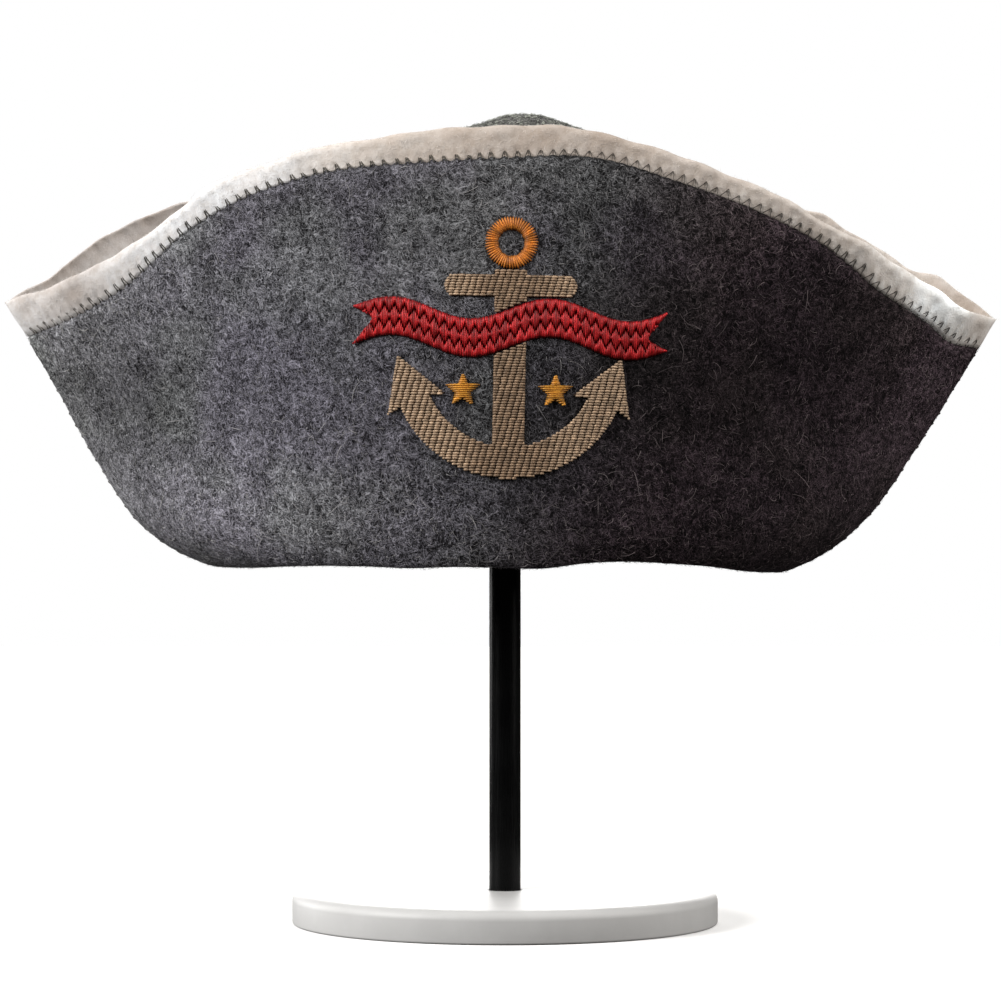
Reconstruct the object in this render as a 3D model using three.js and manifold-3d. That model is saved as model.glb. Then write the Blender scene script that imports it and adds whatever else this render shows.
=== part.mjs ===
// Sauna hat of grey wool felt on a plain rod stand.
// A domed crown stands inside a brim of two turned-up panels, which have a cream felt edging and a stitched
// anchor. Millimetres, +Z up. The hat's front faces -Y, and the origin is on the floor, under the middle.
import * as THREE from 'three';
import { mergeVertices } from 'three/addons/utils/BufferGeometryUtils.js';
import Module from 'manifold-3d';

const wasm = await Module();
wasm.setup();

// Stand
const STAND_X = 1.2;
const BASE_RADIUS = 85;
const BASE_HEIGHT = 13;
const BASE_ROUND = 4;
const BASE_CHAMFER = 1;
const BASE_SIDES = 48;
const BASE_ROUND_STEPS = 3;
const SOCKET_DEPTH = 9;
const ROD_RADIUS = 6.3;
const ROD_SIDES = 24;
const REST_RADIUS = 28;
const REST_HEIGHT = 20;
const REST_SQUEEZE = 0.76;
const REST_GAP = 1.4;
const REST_SIDES = 28;
const REST_STEPS = 6;

// Hat on the stand: height of its hem, its lean to the right, and the shift that centres its tips
const HEM_HEIGHT = 140;
const HAT_LEAN = THREE.MathUtils.degToRad(1);
const HAT_SHIFT = -1.6;

// Felt and gaps
const FELT = 3;
const TRIM_FELT = 2.5;
const GAP = 0.4;

// Brim, in the hat's own frame, with heights measured from the hem
const HEM_HALF_WIDTH = 114;
const HEM_HALF_DEPTH = 78;
const CORNER_SWELL = { left: 23.6, right: 21.5 };
const CORNER_HEIGHT = { left: 9.5, right: 11 };
const SIDE_SLOPE = { left: 0.57, right: 0.592 };
const BELLY = 8;
const BELLY_SPAN = 170;
const LENS_HEIGHT = 90;
const ROUND_POWER = 0.5;
const POINTED_POWER = 1;
const SEAM_LIP = 0.3;
const SEAM_OPENING = { from: 60, to: 85 };

// Crown, whose top leans a little to the right
const CROWN_HEIGHT = 183.2;
const CROWN_HALF_WIDTH = HEM_HALF_WIDTH - FELT - GAP;
const CROWN_HALF_DEPTH = HEM_HALF_DEPTH - FELT - GAP;
const CROWN_TOP_LEAN = 7;
const CROWN_FULLNESS = 1.2;
const CROWN_TOP_ROUNDNESS = 0.9;
const CROWN_HEM_LIFT = 0.5;
const CROWN_SIDES = 40;
const CROWN_STEPS = 12;

// Trim: how far it tucks in behind the panel's edge
const TUCK = 7;

// Grid of the bent sheets
const COLUMNS = 42;
const PANEL_ROWS = 12;
const TUCK_ROWS = 2;
const SHOW_ROWS = 3;
const HEM_CROWDING = 1.6;
const END_COLUMN = 0.999;

// Front panel: across is the share of the half width, the rest are heights above the hem
const FRONT = [
  { across: -1.0, hem: 0.4, edge: 94, trim: 104.8 },
  { across: -0.86, hem: 0.6, edge: 102, trim: 113 },
  { across: -0.72, hem: 1.6, edge: 113, trim: 124 },
  { across: -0.58, hem: 2.3, edge: 131, trim: 140.4 },
  { across: -0.44, hem: 2.4, edge: 145.6, trim: 155 },
  { across: -0.3, hem: 2.1, edge: 154.4, trim: 163 },
  { across: -0.15, hem: 2.9, edge: 158, trim: 168.8 },
  { across: 0.0, hem: 2.9, edge: 160.4, trim: 171.8 },
  { across: 0.15, hem: 2.9, edge: 161, trim: 170 },
  { across: 0.3, hem: 5.2, edge: 152.6, trim: 160.6 },
  { across: 0.44, hem: 6, edge: 142.2, trim: 149.6 },
  { across: 0.58, hem: 5.5, edge: 130, trim: 138.2 },
  { across: 0.72, hem: 4.5, edge: 115, trim: 126 },
  { across: 0.86, hem: 2.6, edge: 101, trim: 112 },
  { across: 1.0, hem: 2, edge: 93.8, trim: 105 },
];

// Back panel
const BACK = [
  { across: -1.0, hem: 0.4, edge: 94, trim: 104.8 },
  { across: -0.86, hem: 1, edge: 109, trim: 121.2 },
  { across: -0.72, hem: 1.6, edge: 127, trim: 137.8 },
  { across: -0.58, hem: 2, edge: 139, trim: 149.6 },
  { across: -0.3, hem: 2.4, edge: 153, trim: 163.5 },
  { across: 0.0, hem: 3, edge: 160, trim: 170.5 },
  { across: 0.3, hem: 4, edge: 153, trim: 163.5 },
  { across: 0.58, hem: 4, edge: 136, trim: 146.6 },
  { across: 0.72, hem: 3.6, edge: 121.5, trim: 131.5 },
  { across: 0.86, hem: 2.6, edge: 110.6, trim: 122 },
  { across: 1.0, hem: 2, edge: 93.8, trim: 105 },
];

// Emblem: the place of its middle on the front panel, and the low relief of its stitches
const EMBLEM_X = 3;
const EMBLEM_Z = 87;
const STITCH_GAP = 0.3;
const STITCH_THICKNESS = 0.9;
const SKIN_REACH = 0.4;
const SKIN_BELOW = 56;
const SKIN_ABOVE = 58;
const SKIN_COLUMNS = 16;
const SKIN_ROWS = 12;
const PRISM_START = 50;
const PRISM_DEPTH = 60;

// Anchor, measured from the emblem's middle
const SHANK_HALF_WIDTH = 6;
const SHANK_TOP = 29;
const SHANK_OVERLAP = 2;
const STOCK_HALF_LENGTH = 25;
const STOCK_HALF_HEIGHT = 4.5;
const STOCK_Z = 23;
const ARMS_Z = -5;
const ARMS_OUTER_RADIUS = 45;
const ARMS_INNER_RADIUS = 33;
const ARMS_HALF_ANGLE = THREE.MathUtils.degToRad(68);
const FLUKE_HALF_WIDTH = 11.5;
const FLUKE_LENGTH = 17;
const FLUKE_BARB = 3;
const FLUKE_ROOT = 1;

// Ribbon, ring and stars
const RIBBON_Z = 7;
const RIBBON_HALF_LENGTH = 60;
const RIBBON_HALF_HEIGHT = 7.5;
const RIBBON_WAVE = 4;
const RIBBON_NOTCH = 8;
const RIBBON_GAP = 0.4;
const RIBBON_STEPS = 20;
const RING_Z = 39.4;
const RING_OUTER_RADIUS = 10;
const RING_INNER_RADIUS = 5;
const STAR_X = 17.5;
const STAR_Z = -17;
const STAR_RADIUS = 7;
const STAR_INNER_SHARE = 0.45;
const STAR_POINTS = 5;

// Materials
const greyFelt = new THREE.MeshStandardMaterial({ color: 0x4f4c50, roughness: 0.97, metalness: 0 });
const crownFelt = new THREE.MeshStandardMaterial({ color: 0x5d605a, roughness: 0.97, metalness: 0 });
const creamFelt = new THREE.MeshStandardMaterial({ color: 0xd9cfc4, roughness: 0.95, metalness: 0 });
const khakiThread = new THREE.MeshStandardMaterial({ color: 0x7c654c, roughness: 0.6, metalness: 0 });
const redThread = new THREE.MeshStandardMaterial({ color: 0x8e2424, roughness: 0.5, metalness: 0 });
const orangeThread = new THREE.MeshStandardMaterial({ color: 0xb36a2c, roughness: 0.5, metalness: 0 });
const blackSteel = new THREE.MeshStandardMaterial({ color: 0x0c0d0e, roughness: 0.4, metalness: 0.3 });
const whiteLacquer = new THREE.MeshStandardMaterial({ color: 0xe9e8e5, roughness: 0.5, metalness: 0 });

// Reads a column of a table at a place across the hat, on a smooth curve through its rows.
function readTable(table, column, across) {
  const slope = (row) => {
    const before = table[Math.max(row - 1, 0)];
    const after = table[Math.min(row + 1, table.length - 1)];
    return (after[column] - before[column]) / (after.across - before.across);
  };
  const found = table.findIndex((entry) => entry.across >= across);
  const row = Math.max(found, 1);
  const span = table[row].across - table[row - 1].across;
  const t = (across - table[row - 1].across) / span;
  const rise = table[row][column] - table[row - 1][column];
  const ease = t * t * (3 - 2 * t);
  const leaving = slope(row - 1) * span * t * (1 - t) * (1 - t);
  const arriving = slope(row) * span * t * t * (1 - t);
  return table[row - 1][column] + rise * ease + leaving - arriving;
}

// Half width of the brim at a height: a rounded corner above the hem, then straight sides that spread.
function halfReach(across, z, hem) {
  const hand = across < 0 ? 'left' : 'right';
  const swell = CORNER_SWELL[hand];
  const slope = SIDE_SLOPE[hand];
  const corner = (swell + slope * hem) * Math.exp(-Math.max(z - hem, 0) / CORNER_HEIGHT[hand]);
  return HEM_HALF_WIDTH + swell + slope * z - corner;
}

function halfDepth(z) {
  const share = THREE.MathUtils.clamp(z / BELLY_SPAN, 0, 1);
  return HEM_HALF_DEPTH + BELLY * Math.sin(Math.PI * share);
}

// Half thickness of the side seam, which opens near the top to take the trim between the panels.
function seamHalf(z) {
  const open = THREE.MathUtils.smoothstep(z, SEAM_OPENING.from, SEAM_OPENING.to);
  return FELT + GAP / 2 + (TRIM_FELT + GAP) * open;
}

// A point of the brim's wall at an inset from its outer face: round at the hem, a pointed lens at the rim.
// The side is -1 at the front and 1 at the back.
function wallPoint(side, across, z, inset) {
  const hem = readTable(side < 0 ? FRONT : BACK, 'hem', across);
  const seam = Math.max(GAP / 2, seamHalf(z) - inset);
  const rise = THREE.MathUtils.smoothstep(z, 0, LENS_HEIGHT);
  const power = THREE.MathUtils.lerp(ROUND_POWER, POINTED_POWER, rise);
  const fullness = Math.max(0, 1 - across * across) ** power;
  const depth = seam + (halfDepth(z) - inset - seam) * fullness;
  return new THREE.Vector3(across * (halfReach(across, z, hem) - inset), side * depth, z);
}

// Removes everything but the positions, so that shared corners merge and the mesh is closed.
function closedMesh(geometry) {
  geometry.deleteAttribute('normal');
  geometry.deleteAttribute('uv');
  return mergeVertices(geometry);
}

// Bends a flat block into a sheet. The place function turns a corner into a point, from its place along
// from -1 to 1, its place up from 0 to 1, and whether it is on the outer face.
function bentSheet(columns, rows, place) {
  const sheet = closedMesh(new THREE.BoxGeometry(2, 1, 1, columns, rows, 1));
  const corners = sheet.getAttribute('position');
  const corner = new THREE.Vector3();
  for (let i = 0; i < corners.count; i += 1) {
    corner.fromBufferAttribute(corners, i);
    const point = place(corner.x, corner.y + 0.5, corner.z > 0);
    corners.setXYZ(i, point.x, point.y, point.z);
  }
  return sheet;
}

// Columns crowd towards the side seams, where the brim turns most.
function acrossAt(side, along) {
  return -side * Math.sin(along * Math.PI / 2);
}

function brimPanel(side, table) {
  return bentSheet(COLUMNS, PANEL_ROWS, (along, up, outer) => {
    const across = acrossAt(side, along);
    const hem = readTable(table, 'hem', across);
    const edge = readTable(table, 'edge', across);
    const z = hem + (edge - hem) * up ** HEM_CROWDING;
    const point = wallPoint(side, across, z, outer ? 0 : FELT);
    if (Math.abs(along) > END_COLUMN) {
      const reach = halfReach(across, z, hem) + (outer ? SEAM_LIP : -FELT);
      point.set(Math.sign(across) * reach, side * GAP / 2, z);
    }
    return point;
  });
}

// The strip stands behind the panel's edge. Above the edge its ends spread out flush with the side seams.
function trimStrip(side, table) {
  const rows = TUCK_ROWS + SHOW_ROWS;
  return bentSheet(COLUMNS, rows, (along, up, outer) => {
    const across = acrossAt(side, along);
    const row = Math.round(up * rows);
    const hem = readTable(table, 'hem', across);
    const start = readTable(table, 'edge', across) + GAP;
    const top = readTable(table, 'trim', across);
    const tucked = row <= TUCK_ROWS;
    const below = start - TUCK * (1 - row / TUCK_ROWS);
    const above = start + (top - start) * (row - TUCK_ROWS) / SHOW_ROWS;
    const z = tucked ? below : above;
    const inset = FELT + GAP + (outer ? 0 : TRIM_FELT);
    const point = wallPoint(side, across, z, inset);
    if (!tucked) {
      point.x = across * halfReach(across, z, hem);
    }
    return point;
  });
}

// Depth over width of the crown's plan: an oval at the head band that rounds off towards the top.
function crownSqueeze(share, inset) {
  const foot = (CROWN_HALF_DEPTH - inset) / (CROWN_HALF_WIDTH - inset);
  return foot + (CROWN_TOP_ROUNDNESS - foot) * share * share;
}

// Inner and outer walls of the dome as one turned profile, then squeezed front to back, leaned at the top
// and lifted at the foot to follow the hem.
function crownShell() {
  const wall = (radius, height) => Array.from({ length: CROWN_STEPS + 1 }, (_, i) => {
    const turn = i / CROWN_STEPS * Math.PI / 2;
    const rise = Math.sin(turn) ** CROWN_FULLNESS;
    return new THREE.Vector2(i === CROWN_STEPS ? 0 : radius * Math.cos(turn), height * rise);
  });
  const inner = wall(CROWN_HALF_WIDTH - FELT, CROWN_HEIGHT - FELT).reverse();
  const outer = wall(CROWN_HALF_WIDTH, CROWN_HEIGHT);
  const profile = [...inner, ...outer];
  const shell = new THREE.LatheGeometry(profile, CROWN_SIDES).rotateX(Math.PI / 2);
  const corners = shell.getAttribute('position');
  const corner = new THREE.Vector3();
  for (let i = 0; i < corners.count; i += 1) {
    corner.fromBufferAttribute(corners, i);
    const inset = i % profile.length < inner.length ? FELT : 0;
    const share = corner.z / (CROWN_HEIGHT - inset);
    const table = corner.y < 0 ? FRONT : BACK;
    const across = THREE.MathUtils.clamp(corner.x / CROWN_HALF_WIDTH, -1, 1);
    const lift = readTable(table, 'hem', across) + CROWN_HEM_LIFT;
    corners.setXYZ(
      i,
      corner.x + CROWN_TOP_LEAN * share,
      corner.y * crownSqueeze(share, inset),
      corner.z + lift * (1 - share),
    );
  }
  return closedMesh(shell);
}

function toSolid(geometry) {
  const closed = geometry.index ? geometry : closedMesh(geometry);
  const vertProperties = new Float32Array(closed.getAttribute('position').array);
  const triVerts = new Uint32Array(closed.index.array);
  return new wasm.Manifold(new wasm.Mesh({ numProp: 3, vertProperties, triVerts }));
}

function toGeometry(solid) {
  const mesh = solid.getMesh();
  const geometry = new THREE.BufferGeometry();
  geometry.setAttribute('position', new THREE.BufferAttribute(mesh.vertProperties, 3));
  geometry.setIndex(new THREE.BufferAttribute(mesh.triVerts, 1));
  return geometry;
}

// A thin skin just in front of the front panel, a little larger than the emblem.
function stitchSkin() {
  return toSolid(bentSheet(SKIN_COLUMNS, SKIN_ROWS, (along, up, outer) => {
    const inset = -STITCH_GAP - (outer ? STITCH_THICKNESS : 0);
    const z = EMBLEM_Z + THREE.MathUtils.lerp(-SKIN_BELOW, SKIN_ABOVE, up);
    return wallPoint(-1, along * SKIN_REACH, z, inset);
  }));
}

// A flat outline of the emblem as a prism that passes through the skin, facing the front.
function prism(shape, curveSegments = 12) {
  const options = { depth: PRISM_DEPTH, bevelEnabled: false, curveSegments };
  const geometry = closedMesh(new THREE.ExtrudeGeometry(shape, options));
  geometry.rotateX(Math.PI / 2);
  geometry.translate(EMBLEM_X, -PRISM_START, EMBLEM_Z);
  return toSolid(geometry);
}

function polygon(points) {
  return new THREE.Shape(points.map(([x, z]) => new THREE.Vector2(x, z)));
}

function shankPrism(low, high) {
  return prism(polygon([
    [-SHANK_HALF_WIDTH, low],
    [SHANK_HALF_WIDTH, low],
    [SHANK_HALF_WIDTH, high],
    [-SHANK_HALF_WIDTH, high],
  ]));
}

function stockPrism() {
  const bend = STOCK_HALF_LENGTH - STOCK_HALF_HEIGHT;
  const shape = new THREE.Shape();
  shape.absarc(bend, STOCK_Z, STOCK_HALF_HEIGHT, -Math.PI / 2, Math.PI / 2);
  shape.absarc(-bend, STOCK_Z, STOCK_HALF_HEIGHT, Math.PI / 2, Math.PI * 1.5);
  return prism(shape, 6);
}

function armsPrism() {
  const down = -Math.PI / 2;
  const shape = new THREE.Shape();
  shape.absarc(0, ARMS_Z, ARMS_OUTER_RADIUS, down - ARMS_HALF_ANGLE, down + ARMS_HALF_ANGLE);
  shape.absarc(0, ARMS_Z, ARMS_INNER_RADIUS, down + ARMS_HALF_ANGLE, down - ARMS_HALF_ANGLE, true);
  return prism(shape, 16);
}

// The arrowhead at the end of an arm, pointing on along the arm. The side is -1 or 1, for left or right.
function flukePrism(side) {
  const radius = (ARMS_OUTER_RADIUS + ARMS_INNER_RADIUS) / 2;
  const outward = new THREE.Vector2(side * Math.sin(ARMS_HALF_ANGLE), -Math.cos(ARMS_HALF_ANGLE));
  const onward = new THREE.Vector2(side * Math.cos(ARMS_HALF_ANGLE), Math.sin(ARMS_HALF_ANGLE));
  const root = outward.clone().multiplyScalar(radius).add(new THREE.Vector2(0, ARMS_Z));
  const corner = (out, on) => root.clone().addScaledVector(outward, out).addScaledVector(onward, on);
  const points = [
    corner(-FLUKE_HALF_WIDTH, -FLUKE_BARB),
    corner(0, -FLUKE_ROOT),
    corner(FLUKE_HALF_WIDTH, -FLUKE_BARB),
    corner(0, FLUKE_LENGTH),
  ];
  return prism(new THREE.Shape(side > 0 ? points.reverse() : points));
}

// A waving band with notched ends. Growth makes it higher, for the space that it takes in the anchor.
function ribbonPrism(growth) {
  const count = RIBBON_STEPS + 1;
  const half = RIBBON_HALF_HEIGHT + growth;
  const line = (i, offset) => {
    const x = RIBBON_HALF_LENGTH * (2 * i / RIBBON_STEPS - 1);
    const wave = RIBBON_WAVE * Math.sin(Math.PI * 2 * x / RIBBON_HALF_LENGTH);
    return [x, RIBBON_Z + wave + offset];
  };
  const lower = Array.from({ length: count }, (_, i) => line(i, -half));
  const upper = Array.from({ length: count }, (_, i) => line(RIBBON_STEPS - i, half));
  const notch = RIBBON_HALF_LENGTH - RIBBON_NOTCH;
  return prism(polygon([...lower, [notch, RIBBON_Z], ...upper, [-notch, RIBBON_Z]]));
}

function ringPrism() {
  const shape = new THREE.Shape();
  shape.absarc(0, RING_Z, RING_OUTER_RADIUS, 0, Math.PI * 2);
  const hole = new THREE.Path();
  hole.absarc(0, RING_Z, RING_INNER_RADIUS, 0, Math.PI * 2, true);
  shape.holes.push(hole);
  return prism(shape, 12);
}

function starPrism(side) {
  const points = Array.from({ length: 2 * STAR_POINTS }, (_, i) => {
    const radius = STAR_RADIUS * (i % 2 === 0 ? 1 : STAR_INNER_SHARE);
    const turn = Math.PI / 2 + i * Math.PI / STAR_POINTS;
    return [side * STAR_X + radius * Math.cos(turn), STAR_Z + radius * Math.sin(turn)];
  });
  return prism(polygon(points));
}

// The ribbon passes over the shank, so the anchor is two pieces, one above it and one below.
function anchorHeadPrism() {
  return shankPrism(RIBBON_Z, SHANK_TOP).add(stockPrism()).subtract(ribbonPrism(RIBBON_GAP));
}

function anchorFootPrism() {
  return shankPrism(ARMS_Z - ARMS_INNER_RADIUS - SHANK_OVERLAP, RIBBON_Z)
    .add(armsPrism())
    .add(flukePrism(-1))
    .add(flukePrism(1))
    .subtract(ribbonPrism(RIBBON_GAP));
}

function rodShape(radius, bottom, top) {
  const rod = new THREE.CylinderGeometry(radius, radius, top - bottom, ROD_SIDES);
  rod.rotateX(Math.PI / 2);
  return closedMesh(rod.translate(STAND_X, 0, (bottom + top) / 2));
}

// Turns a profile of radius and height about the stand's axis.
function turned(profile, sides) {
  const points = profile.map(([radius, height]) => new THREE.Vector2(radius, height));
  const shape = new THREE.LatheGeometry(points, sides).rotateX(Math.PI / 2);
  return toSolid(closedMesh(shape.translate(STAND_X, 0, 0)));
}

// A disc with a small round at its foot and a larger one at its top, and a blind hole for the rod.
function standBase() {
  const round = Array.from({ length: BASE_ROUND_STEPS + 1 }, (_, i) => {
    const turn = i / BASE_ROUND_STEPS * Math.PI / 2;
    const inward = BASE_ROUND * (1 - Math.cos(turn));
    return [BASE_RADIUS - inward, BASE_HEIGHT - BASE_ROUND * (1 - Math.sin(turn))];
  });
  const foot = [[0, 0], [BASE_RADIUS - BASE_CHAMFER, 0], [BASE_RADIUS, BASE_CHAMFER]];
  const disc = turned([...foot, ...round, [0, BASE_HEIGHT]], BASE_SIDES);
  const socketFloor = BASE_HEIGHT - SOCKET_DEPTH;
  const hole = toSolid(rodShape(ROD_RADIUS + GAP, socketFloor, BASE_HEIGHT + SOCKET_DEPTH));
  return toGeometry(disc.subtract(hole));
}

// A dome that follows the inside of the crown's top and stands on the rod.
function standRest(bottom) {
  const inside = HEM_HEIGHT + CROWN_HEIGHT - FELT;
  const dome = Array.from({ length: REST_STEPS + 1 }, (_, i) => {
    const radius = REST_RADIUS * (1 - i / REST_STEPS);
    const share = radius / ((CROWN_HALF_WIDTH - FELT) * REST_SQUEEZE);
    const drop = (CROWN_HEIGHT - FELT) * (1 - (1 - share * share) ** (CROWN_FULLNESS / 2));
    return [radius, inside - drop - REST_GAP];
  });
  return toGeometry(turned([[0, bottom], [REST_RADIUS, bottom], ...dome], REST_SIDES));
}

function add(parent, name, geometry, material) {
  geometry.computeVertexNormals();
  const mesh = new THREE.Mesh(geometry, material);
  mesh.name = name;
  parent.add(mesh);
}

function buildHat() {
  const hat = new THREE.Group();
  hat.position.set(HAT_SHIFT, 0, HEM_HEIGHT);
  hat.rotation.y = HAT_LEAN;
  add(hat, 'crown', crownShell(), crownFelt);
  add(hat, 'brim_front', brimPanel(-1, FRONT), greyFelt);
  add(hat, 'brim_back', brimPanel(1, BACK), greyFelt);
  add(hat, 'trim_front', trimStrip(-1, FRONT), creamFelt);
  add(hat, 'trim_back', trimStrip(1, BACK), creamFelt);
  const skin = stitchSkin();
  const stitch = (outline) => toGeometry(skin.intersect(outline));
  add(hat, 'emblem_anchor_head', stitch(anchorHeadPrism()), khakiThread);
  add(hat, 'emblem_anchor_foot', stitch(anchorFootPrism()), khakiThread);
  add(hat, 'emblem_ribbon', stitch(ribbonPrism(0)), redThread);
  add(hat, 'emblem_ring', stitch(ringPrism()), orangeThread);
  add(hat, 'emblem_star_left', stitch(starPrism(-1)), orangeThread);
  add(hat, 'emblem_star_right', stitch(starPrism(1)), orangeThread);
  return hat;
}

function buildStand() {
  const stand = new THREE.Group();
  const restBottom = HEM_HEIGHT + CROWN_HEIGHT - FELT - REST_HEIGHT;
  const rodBottom = BASE_HEIGHT - SOCKET_DEPTH + GAP;
  const rodTop = restBottom - GAP;
  add(stand, 'stand_base', standBase(), whiteLacquer);
  add(stand, 'stand_rod', rodShape(ROD_RADIUS, rodBottom, rodTop), blackSteel);
  add(stand, 'stand_rest', standRest(restBottom), blackSteel);
  return stand;
}

const saunaHat = new THREE.Group();
saunaHat.add(buildHat(), buildStand());
export default saunaHat;
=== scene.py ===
import math

import bpy
import numpy as np
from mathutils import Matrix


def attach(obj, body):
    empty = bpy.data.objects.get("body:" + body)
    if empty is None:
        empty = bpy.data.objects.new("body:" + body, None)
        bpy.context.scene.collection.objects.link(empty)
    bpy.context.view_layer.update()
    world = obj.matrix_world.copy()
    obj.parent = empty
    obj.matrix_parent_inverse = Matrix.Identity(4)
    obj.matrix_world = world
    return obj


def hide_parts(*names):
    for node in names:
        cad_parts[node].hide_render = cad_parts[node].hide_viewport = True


# A grey felt sauna hat with a cream edging and a stitched anchor, on a black rod with a white foot.
# Lengths are millimetres in the hat's own frame, with heights above the hem, until a mesh is made in metres.
# The front is side -1 and the back is side 1.

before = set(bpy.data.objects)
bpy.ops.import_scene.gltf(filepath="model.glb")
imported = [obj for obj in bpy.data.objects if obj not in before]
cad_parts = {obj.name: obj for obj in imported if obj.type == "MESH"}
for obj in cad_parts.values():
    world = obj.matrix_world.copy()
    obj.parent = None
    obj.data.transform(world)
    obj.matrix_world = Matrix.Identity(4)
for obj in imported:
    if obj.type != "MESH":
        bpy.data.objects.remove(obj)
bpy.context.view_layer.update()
rng = np.random.default_rng(24)
MM = 0.001

# Stand
STAND_X = 1.2
BASE_RADIUS = 85.0
BASE_HEIGHT = 13.0
BASE_ROUND = 4.0
SOCKET_RADIUS = 6.7
SOCKET_DEPTH = 9.0
ROD_RADIUS = 6.3
ROD_BOTTOM = 4.4
ROD_TOP = 299.8
REST_RADIUS = 28.0
REST_BOTTOM = 300.2
REST_SQUEEZE = 0.76
REST_GAP = 1.4

# Hat on the stand
HEM_HEIGHT = 140.0
HAT_LEAN = math.radians(1.0)
HAT_SHIFT = -1.6

# Felt
FELT = 3.0
TRIM_FELT = 2.5
GAP = 0.4

# Brim
HEM_HALF_WIDTH = 114.0
HEM_HALF_DEPTH = 78.0
CORNER_SWELL = {"left": 23.6, "right": 21.5}
CORNER_HEIGHT = {"left": 9.5, "right": 11.0}
SIDE_SLOPE = {"left": 0.57, "right": 0.592}
CORNER_FLARE = {"left": 2.4, "right": 0.0}
BELLY = 8.0
BELLY_SPAN = 170.0
LENS_HEIGHT = 90.0
SEAM_LIP = 0.3
SEAM_OPENING = (60.0, 85.0)
SEAM_STITCH_REACH = 2.7

# Crown
CROWN_HEIGHT = 183.2
CROWN_HALF_WIDTH = HEM_HALF_WIDTH - FELT - GAP
CROWN_HALF_DEPTH = HEM_HALF_DEPTH - FELT - GAP
CROWN_TOP_LEAN = 7.0
CROWN_FULLNESS = 1.2
CROWN_TOP_ROUNDNESS = 0.9
CROWN_HEM_LIFT = 0.5
CROWN_FOOT_RISE = 0.006
CROWN_SHOULDER_RADIUS = 18.0
CROWN_SHOULDER_DROP = 1.3

# Trim
TUCK = 7.0
TRIM_PUFF = 2.2
TRIM_PINCH = 0.3
TRIM_TIP_DROP = 0.6
TRIM_TIP_HOLLOW = 1.0
TRIM_FULLNESS = 0.8
# The back trim is painted darker: painted shade
BACK_TRIM_PAINTED_SHADE = 0.86
TRIM_END_ROUND = 0.006
TRIM_BULGES = ((-1, 0.92, 0.04, 2.4), (-1, 0.82, 0.03, -0.8), (-1, -0.8, 0.05, 0.9), (1, 0.7, 0.05, 1.0))

# Zigzag thread along the panels' edges, whose pull makes the edge wavy
STITCH_PITCH = 4.6
COLUMNS_PER_STITCH = 6
EDGE_DROP = 1.0
EDGE_SCALLOP = 0.6
EDGE_PRESS = 1.1
EDGE_BAND = 5.0
# Painted shade on the felt just under the panel's edge
EDGE_PAINTED_SHADE = 0.4
THREAD_RADIUS = 0.24
THREAD_SIDES = 5
THREAD_DEPTH = 0.9
THREAD_ARCH = 0.28
SEAM_THREAD_RADIUS = 0.22
SEAM_THREAD_SHADE = 1.5

# Grey felt, with painted light on the left and painted shade towards the right and the hem
LIT_TONE_LEFT = 0.38
SHADED_TONE_RIGHT = 0.078
TONE_FROM = -47.0
TONE_TO = 57.0
TONE_SLANT = 0.35
TONE_HEIGHT = 90.0
TONE_BACK = 0.3
TONE_FOR_GRAIN = 1.45

# Emblem
EMBLEM_X = 3.0
EMBLEM_Z = 87.0
EMBLEM_FIRST_REACH = 190.0
SHANK_HALF_WIDTH = 6.0
SHANK_TOP = 29.0
STOCK_HALF_LENGTH = 25.0
STOCK_HALF_HEIGHT = 4.5
STOCK_Z = 23.0
ARMS_Z = -5.0
ARMS_OUTER_RADIUS = 45.0
ARMS_INNER_RADIUS = 33.0
ARMS_HALF_ANGLE = math.radians(68.0)
FLUKE_HALF_WIDTH = 11.5
FLUKE_LENGTH = 17.0
FLUKE_BARB = 3.0
RIBBON_Z = 7.0
RIBBON_HALF_LENGTH = 60.0
RIBBON_HALF_HEIGHT = 7.5
RIBBON_WAVE = 4.0
RIBBON_NOTCH = 8.0
RIBBON_GAP = 0.4
RING_Z = 39.4
RING_OUTER_RADIUS = 10.0
RING_INNER_RADIUS = 5.0
STAR_X = 17.5
STAR_Z = -17.0
STAR_RADIUS = 7.0
STAR_INNER_SHARE = 0.45
ANCHOR_HEIGHTS = (-56, 30)
KHAKI_PITCH = 1.02
KHAKI_LENGTH = 2.5
KHAKI_SKEW = 0.28
RIBBON_LEAST_STEPS = 12
SAW_PERIOD = 3.8
SAW_TOOTH = 2.1

# Camera, level and in front of the hat
CAMERA_X = -0.6
CAMERA_DISTANCE = 1600.0
CAMERA_HEIGHT = 168.6
VIEW_WIDTH = 400.4
SENSOR = 36.0
FLOOR_REACH = 3000.0


# Across is the share of the half width. Hem, edge and trim are the heights of the hem, the panel's edge and
# the trim's edge.
COLUMNS = ("across", "hem", "edge", "trim")
FRONT_ROWS = (
    (-1.0, 0.4, 92.2, 104.8),
    (-0.86, 0.6, 100.2, 111.8),
    (-0.72, 1.6, 112, 121.8),
    (-0.58, 2.3, 131, 138),
    (-0.51, 2.35, 138.9, 147.5),
    (-0.44, 2.4, 145.6, 153.8),
    (-0.3, 2.1, 154.4, 162.8),
    (-0.15, 2.9, 158, 168.4),
    (0.0, 2.9, 160.4, 171.8),
    (0.15, 2.9, 161, 170),
    (0.3, 5.2, 152.6, 160.6),
    (0.44, 6, 143.2, 150.6),
    (0.58, 5.5, 131.4, 137.4),
    (0.65, 5, 123.5, 131.8),
    (0.72, 4.5, 115, 124.6),
    (0.86, 2.6, 102.8, 113.3),
    (0.93, 2.2, 96, 107.3),
    (1.0, 2, 94, 105),
)
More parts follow.
